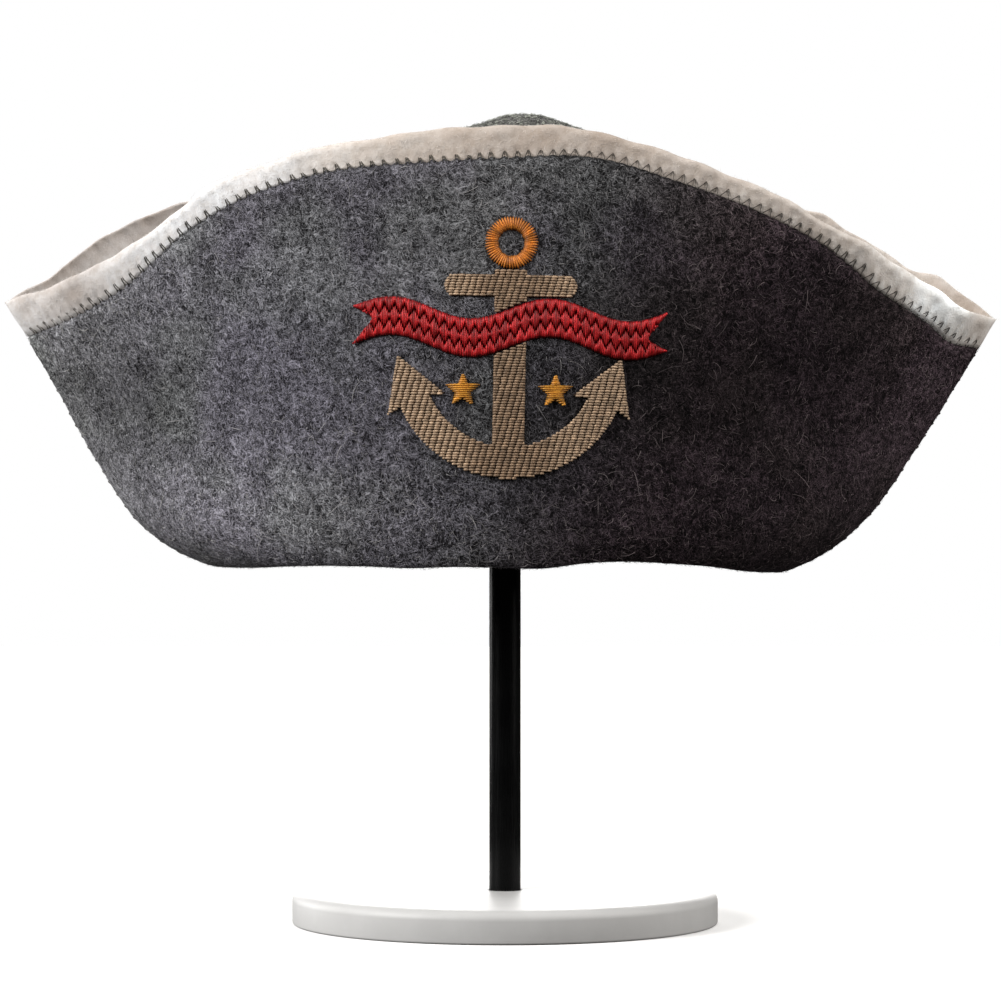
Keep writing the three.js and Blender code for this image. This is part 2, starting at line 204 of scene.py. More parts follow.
BACK_ROWS = (
    (-1.0, 0.4, 92.6, 104.8),
    (-0.86, 1, 109, 120.4),
    (-0.72, 1.6, 127, 137.8),
    (-0.58, 2, 139, 149.6),
    (-0.3, 2.4, 153, 163.5),
    (0.0, 3, 160, 170.5),
    (0.3, 4, 153, 163.5),
    (0.58, 4, 138.8, 149.6),
    (0.65, 3.8, 130.6, 141.3),
    (0.72, 3.6, 124, 134.6),
    (0.79, 3.2, 115.6, 125.8),
    (0.86, 2.6, 110.6, 122),
    (1.0, 2, 92.8, 105),
)
PANELS = {-1: dict(zip(COLUMNS, np.array(FRONT_ROWS).T)), 1: dict(zip(COLUMNS, np.array(BACK_ROWS).T))}


def smoothstep(value, low, high):
    t = np.clip((value - low) / (high - low), 0, 1)
    return t * t * (3 - 2 * t)


def hump(value, middle, wide):
    """1 at the middle, and falling off to both sides."""
    return np.exp(-((value - middle) / wide) ** 2)


def spot(x, z, at_x, at_z, wide, tall):
    return np.exp(-((x - at_x) / wide) ** 2 - ((z - at_z) / tall) ** 2)


def unit(vectors):
    return vectors / (np.linalg.norm(vectors, axis=-1, keepdims=True) + 1e-12)


def run_length(points):
    """How far along a line of points each of them is."""
    return np.concatenate([[0], np.cumsum(np.linalg.norm(np.diff(points, axis=0), axis=1))])


def read_table(side, column, across):
    """A column at places across the hat, on a smooth curve through the table's rows."""
    places = PANELS[side]["across"]
    values = PANELS[side][column]
    if column == "edge":
        values = values - EDGE_DROP
    slopes = np.empty(len(values))
    slopes[1:-1] = (values[2:] - values[:-2]) / (places[2:] - places[:-2])
    slopes[0] = (values[1] - values[0]) / (places[1] - places[0])
    slopes[-1] = (values[-1] - values[-2]) / (places[-1] - places[-2])
    row = np.clip(np.searchsorted(places, across), 1, len(places) - 1)
    span = places[row] - places[row - 1]
    t = (across - places[row - 1]) / span
    rise = (values[row] - values[row - 1]) * t * t * (3 - 2 * t)
    leaving = slopes[row - 1] * span * t * (1 - t) ** 2
    arriving = slopes[row] * span * t * t * (1 - t)
    return values[row - 1] + rise + leaving - arriving


def by_hand(across, pair):
    return np.where(across < 0, pair["left"], pair["right"])


def half_reach(across, z, hem):
    swell = by_hand(across, CORNER_SWELL)
    slope = by_hand(across, SIDE_SLOPE)
    corner = (swell + slope * hem) * np.exp(-np.maximum(z - hem, 0) / by_hand(across, CORNER_HEIGHT))
    bumps = 0.12 * np.sin(z / 2.1 + across) + 0.18 * np.sin(z / 5.3 + 2 * across)
    bumps = bumps * smoothstep(np.abs(across), 0.93, 1.0) * smoothstep(z, 8, 20)
    flare = by_hand(across, CORNER_FLARE) * smoothstep(z, 84, 108)
    return HEM_HALF_WIDTH + swell + slope * z - corner + bumps + flare


# Spots of painted light and shade on the grey felt: place across in mm, height, width, tallness and share
GREY_PAINTED_LIGHT_SPOTS = (
    (-185, 105, 45, 60, 1.0),
    (-150, 66, 26, 22, -0.38),
    (-112, 108, 48, 32, 0.3),
    (-105, 20, 62, 28, 0.8),
    (-85, 140, 40, 24, -0.03),
    (0, 125, 45, 34, 0.15),
    (0, 20, 45, 22, 0.35),
    (30, 142, 20, 14, -0.2),
    (85, 142, 45, 24, 0.7),
    (78, 72, 45, 34, -0.48),
    (135, 100, 30, 28, -0.3),
    (176, 80, 30, 60, 1.2),
)

# The same for the cream trim: painted light and shade, with a painted highlight at the right tip
CREAM_PAINTED_LIGHT = (
    (20, 165, 85, 60, -0.5),
    (-48, 170, 38, 16, -0.15),
    (0, 176, 60, 6, -0.06),
    (110, 130, 50, 60, -0.2),
    (-115, 140, 45, 50, 0.14),
    (-172, 115, 30, 30, -0.3),
    (-168, 107, 5, 4.5, -0.28),
    (190, 103, 7, 18, -0.3),
    (173, 110, 14, 13, 0.75),
    (134, 140, 26, 16, -0.2),
)
# Painted shade on the back trim near both tips
BACK_CREAM_PAINTED_SHADE = (
    (160, 122, 45, 30, -0.22),
    (180, 112, 20, 16, -0.48),
    (-139, 141, 18, 13, -0.4),
)


# Multiplies a tone by spots of painted light and shade
def mottled(tone, x, z, places):
    for *place, share in places:
        tone = tone * (1 + share * spot(x, z, *place))
    return tone


def felt_tone_and_painted_light(x, y, z):
    """The grey felt's colour at a place, in red, green and blue, and how strong its grain is.

    On the front it carries painted light on the left and painted shade towards the right and the hem,
    with spots of both. The back is one even tone.
    """
    # Painted light on the left, fading to painted shade on the right, slanted with the height
    slant = x - TONE_SLANT * (z - TONE_HEIGHT)
    tone = LIT_TONE_LEFT + (SHADED_TONE_RIGHT - LIT_TONE_LEFT) * smoothstep(slant, TONE_FROM, TONE_TO)
    tone = mottled(tone, x, z, GREY_PAINTED_LIGHT_SPOTS)
    back = smoothstep(y, -5, 40)
    tone = tone + (TONE_BACK - tone) * back
    # Painted light colour: the painted shade on the right is warmer and the lit left cooler
    warm = smoothstep(slant, 10, 90) * (1 - back)
    cool = spot(x, z, -80, 80, 60, 60) * (1 - back)
    green = smoothstep(-x, 100, 165) * (1 - back)
    grain = smoothstep(slant, -40, 30) * (1 - 0.6 * back)
    blue = 1 - 0.03 * warm + 0.05 * cool - 0.07 * green
    tilt = np.stack([1 + 0.24 * warm - 0.03 * green, 1 - 0.07 * warm, blue], -1)
    rgb = (tone * (1 + (TONE_FOR_GRAIN - 1) * grain))[..., None] * tilt
    return np.concatenate([rgb, grain[..., None]], -1)


# Soft hollows and swellings of the felt: side, place across in mm, height, width, tallness, depth outward
DENTS = (
    (-1, -120, 70, 26, 60, -1.6),
    (-1, -70, 100, 30, 45, 1.3),
    (-1, 95, 95, 30, 50, -1.4),
    (-1, 40, 25, 34, 26, 1.2),
    (-1, 0, 118, 60, 18, -1.0),
    (-1, 140, 60, 22, 40, 1.2),
    (1, -90, 80, 34, 50, 1.6),
    (1, 20, 60, 50, 40, -1.4),
    (1, 110, 95, 30, 40, 1.5),
    (1, 60, 130, 40, 18, -1.0),
)


def dent(side, across, x, z):
    """Outward swell of the felt in mm. It fades out at the side seams and, where inward, at the hem."""
    total = np.zeros(np.broadcast(x, z).shape)
    for dent_side, *place, depth in DENTS:
        if dent_side == side:
            total = total + depth * spot(x, z, *place)
    total = total + 0.5 * np.sin(x / 23.0 + 1.3 * side) * np.sin(z / 31.0 + 0.6)
    total = total + 0.25 * np.sin(x / 9.0 + z / 13.0)
    total = np.where(total < 0, total * smoothstep(z, 20, 70), total)
    return total * (1 - across**4)


def wall_point(side, across, z, inset):
    """A point of the brim's wall, in the hat's frame, at an inset from the wall's outer face."""
    hem = read_table(side, "hem", across)
    seam = FELT + GAP / 2 + (TRIM_FELT + GAP) * smoothstep(z, *SEAM_OPENING)
    seam = np.maximum(GAP / 2, seam - inset)
    power = 0.5 + 0.5 * smoothstep(z, 0, LENS_HEIGHT)
    fullness = np.maximum(0, 1 - across * across) ** power
    belly = HEM_HALF_DEPTH + BELLY * np.sin(np.pi * np.clip(z / BELLY_SPAN, 0, 1))
    reach = half_reach(across, z, hem)
    depth = seam + (belly - inset - seam) * fullness + dent(side, across, across * reach, z)
    return np.stack(np.broadcast_arrays(across * (reach - inset), side * depth, z), -1)


def to_world(points):
    """From millimetres in the hat's frame to metres on the floor."""
    x, y, z = points[..., 0], points[..., 1], points[..., 2]
    leaned_x = x * math.cos(HAT_LEAN) + z * math.sin(HAT_LEAN) + HAT_SHIFT
    leaned_z = z * math.cos(HAT_LEAN) - x * math.sin(HAT_LEAN) + HEM_HEIGHT
    return np.stack([leaned_x, y, leaned_z], -1) * MM


# Meshes

def add_object(name, data):
    made = bpy.data.objects.new(name, data)
    bpy.context.scene.collection.objects.link(made)
    return made


def make_piece(name, points, faces, material, replaced=(), tint=None):
    """A smooth mesh object from points in metres and groups of like faces, riding on the one body."""
    mesh = bpy.data.meshes.new(name)
    count = sum(part.size for part in faces)
    mesh.vertices.add(len(points))
    mesh.vertices.foreach_set("co", np.asarray(points, np.float32).ravel())
    mesh.loops.add(count)
    mesh.loops.foreach_set("vertex_index", np.concatenate([part.ravel() for part in faces]).astype(np.int32))
    sizes = np.concatenate([np.full(len(part), part.shape[1]) for part in faces])
    mesh.polygons.add(len(sizes))
    mesh.polygons.foreach_set("loop_start", np.concatenate([[0], np.cumsum(sizes)[:-1]]).astype(np.int32))
    mesh.polygons.foreach_set("use_smooth", np.ones(len(sizes), bool))
    mesh.update(calc_edges=True)
    mesh.validate()
    if tint is not None:
        colours = mesh.color_attributes.new("tint", "FLOAT_COLOR", "POINT")
        values = np.ones((len(points), 4), np.float32)
        tint = np.asarray(tint, np.float32).reshape(len(points), -1)
        values[:, :tint.shape[1]] = tint
        colours.data.foreach_set("color", values.ravel())
    piece = add_object(name, mesh)
    mesh.materials.append(material)
    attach(piece, "root")
    if replaced:
        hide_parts(*replaced)
    return piece


def ring_faces(columns, ring, closed):
    """Faces between neighbouring rings of points. Closed joins the last ring to the first."""
    turns = columns if closed else columns - 1
    column, place = np.meshgrid(np.arange(turns), np.arange(ring), indexing="ij")
    after = (column + 1) % columns
    onward = (place + 1) % ring
    quads = [column * ring + place, after * ring + place, after * ring + onward, column * ring + onward]
    return np.stack(quads, -1).reshape(-1, 4)


def fan(columns, ring, row, pole, ahead):
    """Triangles between one row of the rings and a point on the axis. Ahead says which way they turn."""
    column = np.arange(columns)
    pair = [column * ring + row, (column + 1) % columns * ring + row]
    return np.stack([*(pair if ahead else pair[::-1]), np.full(columns, pole)], -1)


def end_caps(columns, ring):
    """Triangles that close the first and last ring of a strip, folded across its thickness."""
    low = np.arange(ring // 2 - 1)
    high = ring - 1 - low
    one = np.stack([low, low + 1, high], -1)
    two = np.stack([low + 1, high - 1, high], -1)
    caps = np.concatenate([one, two])
    caps = caps[(caps[:, 0] != caps[:, 1]) & (caps[:, 1] != caps[:, 2]) & (caps[:, 0] != caps[:, 2])]
    return np.concatenate([caps, caps[:, ::-1] + (columns - 1) * ring])


def wall_section(outer_steps, inner_steps, thickness, round_steps=6):
    """Heights, as shares from bottom to top, and insets round the section of a wall with rounded ends.

    It returns, for each point of the ring, a share of the height, an offset along the height in mm and an
    inset in mm. The ring starts at the outer face's foot and has an even number of points.
    """
    radius = thickness / 2
    turn = np.linspace(0, np.pi, round_steps + 2)[1:-1]
    share = np.concatenate([outer_steps, np.ones(len(turn)), inner_steps[::-1], np.zeros(len(turn))])
    lift = np.concatenate([
        radius * (1 - 2 * outer_steps),
        radius * (np.sin(turn) - 1),
        radius * (1 - 2 * inner_steps[::-1]),
        radius * (1 - np.sin(turn)),
    ])
    inset = np.concatenate([
        np.zeros(len(outer_steps)),
        radius * (1 - np.cos(turn)),
        np.full(len(inner_steps), thickness),
        radius * (1 + np.cos(turn)),
    ])
    return share, lift, inset


# Places along the rims

def rim_places(side):
    """Places evenly spaced along the panel's edge, the number of stitches, and a measure of its length."""
    across = np.linspace(-1, 1, 6001)
    length = run_length(wall_point(side, across, read_table(side, "edge", across), 0.0))
    count = int(round(length[-1] / STITCH_PITCH))
    marks = np.linspace(0, length[-1], count * COLUMNS_PER_STITCH + 1)
    return np.interp(marks, length, across), count, (length, across)


def with_ends(across):
    """Adds columns close to both side seams, where the wall turns most."""
    step = across[1] - across[0]
    extra = np.array([0.02, 0.08, 0.25, 0.55]) * step
    return np.sort(np.concatenate([across, -1 + extra, 1 - extra]))


def zigzag_phase(side, across):
    length, places = RIMS[side][2]
    return np.interp(across, places, length) / length[-1] * RIMS[side][1]


RIMS = {side: rim_places(side) for side in (-1, 1)}


def zigzag_pull(side, across):
    """How hard the stitches pull at a place: 1 at each peak and 0 between two."""
    return (0.5 + 0.5 * np.cos(2 * np.pi * zigzag_phase(side, across))) ** 2


def scallop(side, across):
    """The panel's edge is pulled up at each stitch's peak, most where the stitches are narrow."""
    phase = zigzag_phase(side, across)
    height = EDGE_SCALLOP * (1 - 0.8 * zigzag_width(side, across))
    return height * np.cos(2 * np.pi * phase) * (1 - across**8)


def zigzag_width(side, across):
    """The stitches are narrow, 0, at one end of the hat and as wide as their pitch, 1, at the other."""
    place = -side * across
    return smoothstep(place, -0.15, 0.2) - 0.75 * hump(place, 0.6, 0.1)


def panel_inset(side, across, z):
    """How far stitching presses the panel's outer face in near its edge."""
    edge = read_table(side, "edge", across)
    near = np.clip(1 - (edge - z) / EDGE_BAND, 0, 1)
    return EDGE_PRESS * near**2


def panel_surface(side, across, z, lift=0.0):
    return wall_point(side, across, z, panel_inset(side, across, z) - lift)


def trim_top(side, across):
    """The height of the trim's edge, which wanders a little."""
    wander = 0.35 * np.sin(across * 31.0 + side) + 0.25 * np.sin(across * 74.0 + 2.0)
    drop = TRIM_TIP_DROP * smoothstep(np.abs(across), 0.95, 1.0)
    drop = drop + TRIM_TIP_HOLLOW * hump(np.abs(across), 0.9, 0.05)
    return read_table(side, "trim", across) + wander * (1 - across**4) - drop


def trim_inset(side, across, z):
    """The trim's outer face puffs out over the panel's edge between stitches."""
    edge = read_table(side, "edge", across)
    up = np.clip((z - edge) / (trim_top(side, across) - edge), 0, 1)
    pinch = zigzag_pull(side, across) * hump(z - edge, 1.5, 2.8)
    swell = 1 - 0.16 * (1 - smoothstep(up, 0, 0.35)) - 0.45 * smoothstep(up, 0.72, 1.08)
    swell = swell * smoothstep(z, edge - 1.2, edge - 0.4)
    wave = 0.35 * np.sin(across * 37.0 + side) + 0.25 * np.sin(across * 83.0 + z * 0.25)
    wave = wave + 0.12 * np.sin(across * 149.0 + z * 0.6 + side) + 0.15 * np.sin(across * 97.0 - z * 0.75)
    wave = wave + 0.08 * np.sin(across * 231.0 + z * 0.5 + 1.7 * side)
    for bulge_side, place, wide, depth in TRIM_BULGES:
        if bulge_side == side:
            wave = wave - depth * hump(across, place, wide)
    return FELT + GAP - TRIM_PUFF * swell + TRIM_PINCH * pinch * (z > edge) + wave * up


def trim_surface(side, across, z, lift=0.0):
    inset = trim_inset(side, across, z)
    point = wall_point(side, across, z, inset - lift)
    point[..., 1] += side * TRIM_FULLNESS * across**2 * (1 - across**24) * (FELT + GAP - inset)
    edge = read_table(side, "edge", across)
    hem = read_table(side, "hem", across)
    spread = smoothstep(z, edge - 0.4, edge + 0.4)
    point[..., 0] += spread * (across * half_reach(across, z, hem) - point[..., 0])
    return point


# Felt pieces

def make_wall(side, name, points, material, node, tone):
    """Rings of points round a wall's section, joined across the hat and closed at both ends."""
    columns, ring = points.shape[:2]
    faces = [ring_faces(columns, ring, False), end_caps(columns, ring)]
    if side < 0:
        faces = [part[:, ::-1] for part in faces]
    return make_piece(name, to_world(points.reshape(-1, 3)), faces, material, [node], tone)


def build_panel(side, name, node, material):
    across = with_ends(RIMS[side][0])
    outer_steps = np.concatenate([np.linspace(0, 0.93, 30), np.linspace(0.945, 1, 11)])
    inner_steps = np.linspace(0, 1, 16)
    share, lift, inset = wall_section(outer_steps, inner_steps, FELT)
    hem = read_table(side, "hem", across)[:, None]
    edge = (read_table(side, "edge", across) + scallop(side, across))[:, None]
    z = hem + (edge - hem) * share + lift
    near = np.clip(1 - (edge - z) / EDGE_BAND, 0, 1)
    depth = inset + EDGE_PRESS * near**2 * (1 - inset / FELT)
    points = wall_point(side, across[:, None], z, depth)
    for end in (0, -1):
        reach = half_reach(across[end], z[end], hem[end])
        points[end, :, 0] = across[end] * (reach + SEAM_LIP - depth[end] * (FELT + SEAM_LIP) / FELT)
        points[end, :, 1] = side * GAP / 2
    tone = felt_tone_and_painted_light(*np.moveaxis(points, -1, 0))
    # Painted shade along the felt just under the edge
    tone[..., :3] *= (1 - EDGE_PAINTED_SHADE * smoothstep(z, edge - 1.8, edge - 0.4))[..., None]
    return make_wall(side, name, points, material, node, tone)


def build_trim(side, name, node, material):
    across = with_ends(RIMS[side][0])
    edge = read_table(side, "edge", across)[:, None]
    top = trim_top(side, across)[:, None]
    bottom = edge + GAP - TUCK
    outer_steps = np.concatenate([[0, 0.16, 0.3], np.linspace(0.36, 1, 14)])
    inner_steps = np.linspace(0, 1, 9)
    share, lift, inset = wall_section(outer_steps, inner_steps, TRIM_FELT, 7)
    z = bottom + (top - bottom) * share + lift
    face = trim_surface(side, across[:, None], z)
    back = trim_surface(side, across[:, None], z, -TRIM_FELT)
    points = face + (back - face) * (inset / TRIM_FELT)[None, :, None]
    past = np.clip((np.abs(across) - 1 + TRIM_END_ROUND) / TRIM_END_ROUND, 0, 1)
    points[..., 1] = side * GAP / 2 + (points[..., 1] - side * GAP / 2) * np.sqrt(1 - past**2)[:, None]
    pull = zigzag_pull(side, across)[:, None]
    width = zigzag_width(side, across)[:, None]
    # Painted highlight on the cream lobes between stitches, and painted shade where the stitches pinch
    lobe_light_and_pinch_shade = 1 + (0.16 * width * (1 - pull) - 0.05 * pull) * hump(z - edge, 2.0, 2.6)
    # Painted shade along the trim's top roll
    turned = smoothstep(-across, 0.25, 0.45) - 0.9 * smoothstep(across, 0.4, 0.5)
    roll_shade = smoothstep(share, 0.9, 1.0) * turned[:, None]
    shade = (1.0 if side < 0 else BACK_TRIM_PAINTED_SHADE) * (lobe_light_and_pinch_shade - 0.16 * roll_shade)
    x, z = points[..., 0], points[..., 2]
    tone = mottled(shade, x, z, CREAM_PAINTED_LIGHT + (BACK_CREAM_PAINTED_SHADE if side > 0 else ()))
    # Painted light colour: the painted shade is warmer and the lit left trim cooler
    tone = tone[..., None] ** np.array([0.85, 1.0, 1.12])
    tone = tone * (1 + smoothstep(-x, 50, 100)[..., None] * np.array([-0.03, 0.0, 0.05]))
    return make_wall(side, name, points, material, node, tone)


def crown_point(turn, rise, inset):
    """A point of the crown's wall. Turn goes round it and rise from 0 at the foot to 1 at the top."""
    angle = rise * np.pi / 2
    radius = (CROWN_HALF_WIDTH - inset) * np.cos(angle)
    height = (CROWN_HEIGHT - inset) * np.sin(angle) ** CROWN_FULLNESS
    share = np.sin(angle) ** CROWN_FULLNESS
    foot = (CROWN_HALF_DEPTH - inset) / (CROWN_HALF_WIDTH - inset)
    squeeze = foot + (CROWN_TOP_ROUNDNESS - foot) * share * share
    x = radius * np.cos(turn)
    y = radius * np.sin(turn)
    across = np.clip(x / CROWN_HALF_WIDTH, -1, 1)
    hem = np.where(y < 0, read_table(-1, "hem", across), read_table(1, "hem", across))
    soft = 0.5 * np.sin(3 * turn + 5 * rise) * np.sin(np.pi * rise) * (1 - 0.2 * inset)
    grow = 1 + soft / CROWN_HALF_WIDTH
    off_axis = np.hypot(x, y * squeeze)
    shoulder = hump(off_axis, CROWN_SHOULDER_RADIUS, 9) * (1 - 0.2 * np.cos(turn))
    z = height + (hem + CROWN_HEM_LIFT) * (1 - share)
    z = z - CROWN_SHOULDER_DROP * shoulder * (height > CROWN_HEIGHT / 2)
    return np.stack(np.broadcast_arrays(x * grow + CROWN_TOP_LEAN * share, y * squeeze * grow, z), -1)


def build_crown(material):
    turn = np.linspace(0, 2 * np.pi, 240, endpoint=False)[:, None]
    outer = np.linspace(CROWN_FOOT_RISE, 1, 70)
    inner = np.linspace(CROWN_FOOT_RISE, 1, 40)[::-1]
    rim = np.linspace(0, np.pi, 7)[1:-1]
    rise = np.concatenate([outer[:-1], inner[1:]])
    inset = np.concatenate([np.zeros(len(outer) - 1), np.full(len(inner) - 1, FELT)])
    wall = crown_point(turn, rise, inset)
    round_inset = FELT / 2 * (1 + np.cos(rim))
    hem = crown_point(turn, np.full(len(rim), CROWN_FOOT_RISE), round_inset)
    hem[..., 2] -= FELT * 0.25 * np.sin(rim)
    ring = np.concatenate([wall, hem], axis=1)
    columns, count = ring.shape[:2]
    top = len(outer) - 2
    quads = ring_faces(columns, count, True)
    quads = quads[quads[:, 0] % count != top]
    points = ring.reshape(-1, 3)
    poles = np.stack([crown_point(0.0, 1.0, 0.0), crown_point(0.0, 1.0, FELT)])
    outer_fan = fan(columns, count, top, len(points), True)
    inner_fan = fan(columns, count, top + 1, len(points) + 1, False)
    points = np.concatenate([points, poles])
    tone = felt_tone_and_painted_light(*points.T)
    faces = [quads, outer_fan, inner_fan]
    return make_piece("felt_crown", to_world(points), faces, material, ["crown"], tone)


# Threads and fibres

def tubes(paths, normals, half_width, half_height, sides):
    """Closed tubes along many paths at once.

    Paths are (count, steps, 3), normals point out of the cloth, and the half sizes are (count, steps) or
    numbers. The ends narrow by themselves where the half sizes do.
    """
    count, steps, _ = paths.shape
    along = unit(np.gradient(paths, axis=1))
    across = unit(np.cross(along, normals))
    up = np.cross(across, along)
    turn = np.arange(sides) * 2 * np.pi / sides
    wide = np.broadcast_to(half_width, (count, steps))[..., None, None]
    high = np.broadcast_to(half_height, (count, steps))[..., None, None]
    circle = across[:, :, None] * np.cos(turn)[:, None] * wide + up[:, :, None] * np.sin(turn)[:, None] * high
    points = (paths[:, :, None] + circle).reshape(-1, 3)
    walls = ring_faces(steps, sides, False)
    start = (np.arange(count) * steps * sides)[:, None, None]
    walls = (walls[None] + start).reshape(-1, 4)
    cap = np.arange(sides)
    first = (cap[None] + start[:, 0]).reshape(-1, sides)
    last = (cap[::-1][None] + (steps - 1) * sides + start[:, 0]).reshape(-1, sides)
    return points, [walls[:, ::-1], first[:, ::-1], last[:, ::-1]]


def join(parts):
    """Joins several sets of points and faces into one."""
    points = np.concatenate([part[0] for part in parts])
    faces = []
    start = 0
    for part_points, part_faces in parts:
        faces += [face + start for face in part_faces]
        start += len(part_points)
    return points, faces


def surface_normals(surface, across, z):
    """Outward normals of a surface given as a function of the place across and the height."""
    small_across = 0.002
    small_z = 0.4
    along = surface(across + small_across, z) - surface(across - small_across, z)
    up = surface(across, z + small_z) - surface(across, z - small_z)
    return unit(np.cross(along, up))


def facing(path, axis, sign):
    """The same normal all along many paths."""
    normals = np.zeros_like(path)
    normals[..., axis] = sign
    return normals


def build_zigzag(side, name, material):
    """Two legs for each stitch, from under the panel's edge up to a peak on the trim, square to the edge."""
    _, count, (length, places) = RIMS[side]
    middle = (np.arange(1, count) + rng.normal(0, 0.05, count - 1)) * length[-1] / count
    at = np.interp(middle, length, places)
    width = zigzag_width(side, at)
    near = np.array([-0.01, 0.01])[:, None] + at
    rise = np.diff(read_table(side, "edge", near), axis=0)[0]
    run = np.diff(near * half_reach(near, read_table(side, "edge", near), 0.0), axis=0)[0]
    height = 1.8 + 0.8 * width + rng.normal(0, 0.25, len(middle))
    lean = -0.8 * height * width * rise / run + rng.normal(0, 0.1, len(middle))
    peak_height = height * np.hypot(1, rise / run)
    thickness = THREAD_RADIUS * (1 - 0.38 * width)[:, None]
    steps = np.linspace(0, 1, 7)
    radius = np.repeat(thickness, len(steps), axis=1)
    radius[:, 0] *= 0.4
    radius[:, -1] *= 0.5
    parts = []
    for way in (-1, 1):
        foot = middle + way * (0.75 + 1.25 * width) + rng.normal(0, 0.12, len(middle))
        peak = middle + lean + way * (0.3 - 0.25 * width)
        travel = foot[:, None] + (peak - foot)[:, None] * steps
        across = np.interp(travel, length, places)
        edge = read_table(side, "edge", across)
        z = edge - THREAD_DEPTH + (peak_height[:, None] + THREAD_DEPTH) * steps
        on_panel = panel_surface(side, across, np.minimum(z, edge), 0.1)
        on_trim = trim_surface(side, across, np.maximum(z, edge + 0.2), 0.0)
        blend = smoothstep(z, edge - 0.3, edge + 1.6)[..., None]
        path = on_panel + (on_trim - on_panel) * blend
        path[..., 2] = z
        path[..., 1] += side * THREAD_ARCH * np.sin(np.pi * steps)
        parts.append(tubes(path, facing(path, 1, side), radius, radius, THREAD_SIDES))
    points, faces = join(parts)
    soft = np.tile(np.repeat(1.9 - 0.9 * width, len(steps) * THREAD_SIDES), 2)[:, None] * np.ones(3)
    return make_piece(name, to_world(points), faces, material, tint=soft)


def build_seam(end, name, material):
    """Small slanting stitches over a side seam, from the front panel's end to the back panel's."""
    hem = read_table(-1, "hem", np.array([end]))[0]
    middle = np.arange(hem + 5.0, read_table(-1, "edge", np.array([end]))[0] - 2.0, STITCH_PITCH)
    middle = middle + rng.normal(0, 0.2, len(middle))
    turn = np.linspace(-1, 1, 9)
    y = np.broadcast_to(SEAM_STITCH_REACH * turn, (len(middle), 9))
    z = middle[:, None] + 0.8 * turn
    out = SEAM_LIP * (1 - np.abs(y) / (FELT + GAP / 2)) + 0.3 * np.cos(np.pi / 2 * turn)
    path = np.stack([end * (half_reach(np.full(z.shape, end), z, hem) + out), y, z], -1)
    radius = SEAM_THREAD_RADIUS * (0.5 + 0.5 * np.cos(np.pi / 2 * turn))
    points, faces = tubes(path, facing(path, 0, end), radius, radius, THREAD_SIDES)
    tint = np.full((len(points), 3), SEAM_THREAD_SHADE)
    return make_piece(name, to_world(points), faces, material, tint=tint)


def add_ways(root, *ways):
    """Paths from each root, which go each way by an amount for each step."""
    path = root[:, None]
    for way, amount in ways:
        path = path + way[:, None] * amount[..., None]
    return path


def wool_tint(draw, root, wool):
    """A colour for each fibre between a dark and a light one, in the tone of the felt at its root,
    with its painted light and shade.
    """
    dark, light = np.array(wool["colours"])
    colour = dark + (light - dark) * draw.uniform(0, 1, len(root))[:, None] ** 1.3
    return colour * felt_tone_and_painted_light(*root.T)[:, :3] ** wool["tone"]


def hairs(path, normal, taper, flatness, tint):
    """Tapered hairs along many paths, and the tint of each of their points."""
    normals = np.broadcast_to(normal[:, None], path.shape)
    return tubes(path, normals, taper, taper * flatness, 3), np.repeat(tint, len(taper) * 3, axis=0)


def make_hairs(name, made, material):
    points, faces = join([tube for tube, _ in made])
    tint = np.concatenate([tint for _, tint in made])
    return make_piece(name, to_world(points), faces, material, tint=tint)


def build_fibres(name, surface, low, high, kinds, wool, material, seed, normal_sign=1.0, reach=None):
    """Loose wool fibres that curl on a surface.

    Each kind is (count, shortest, longest, steps, half width, lift). Where the surface gives no closed round,
    reach is the furthest that a fibre may stand past the sides, and none goes below the foot.
    """
    draw = np.random.default_rng(seed)
    made = []
    for count, shortest, longest, steps, half_width, lift in kinds:
        across = draw.uniform(-0.995, 0.995, count)
        bottom = low(across)
        z = bottom + (high(across) - bottom) * draw.uniform(0.0, 1.0, count)
        root = surface(across, z)
        normal = surface_normals(surface, across, z) * normal_sign
        helper = unit(np.cross(normal, [0.0, 0.0, 1.0]))
        length = shortest + (longest - shortest) * draw.uniform(0, 1, count) ** 2
        bend = draw.normal(0, 1.1, count)
        rise = draw.uniform(0.15, 1.0, count) * lift
        t = np.linspace(0, 1, steps)
        heading = draw.uniform(0, 2 * np.pi, count)[:, None] + bend[:, None] * t
        step = (length / steps)[:, None]
        run_a = np.cumsum(np.cos(heading), axis=1) * step
        run_b = np.cumsum(np.sin(heading), axis=1) * step
        out = rise[:, None] * np.sin(np.pi * np.clip(t * 1.2, 0, 1)) - 0.05
        path = add_ways(root, (helper, run_a), (np.cross(normal, helper), run_b), (normal, out))
        tint = wool_tint(draw, root, wool)
        if reach is not None:
            side_limit = half_reach(np.sign(path[..., 0]), path[..., 2], 0.0) + reach
            inside = (path[..., 2] > bottom[:, None] - reach) & (np.abs(path[..., 0]) < side_limit)
            kept = inside.all(axis=1)
            path, normal, tint = path[kept], normal[kept], tint[kept]
        made.append(hairs(path, normal, half_width * (1 - 0.7 * t**2), 0.8, tint))
    return make_hairs(name, made, material)


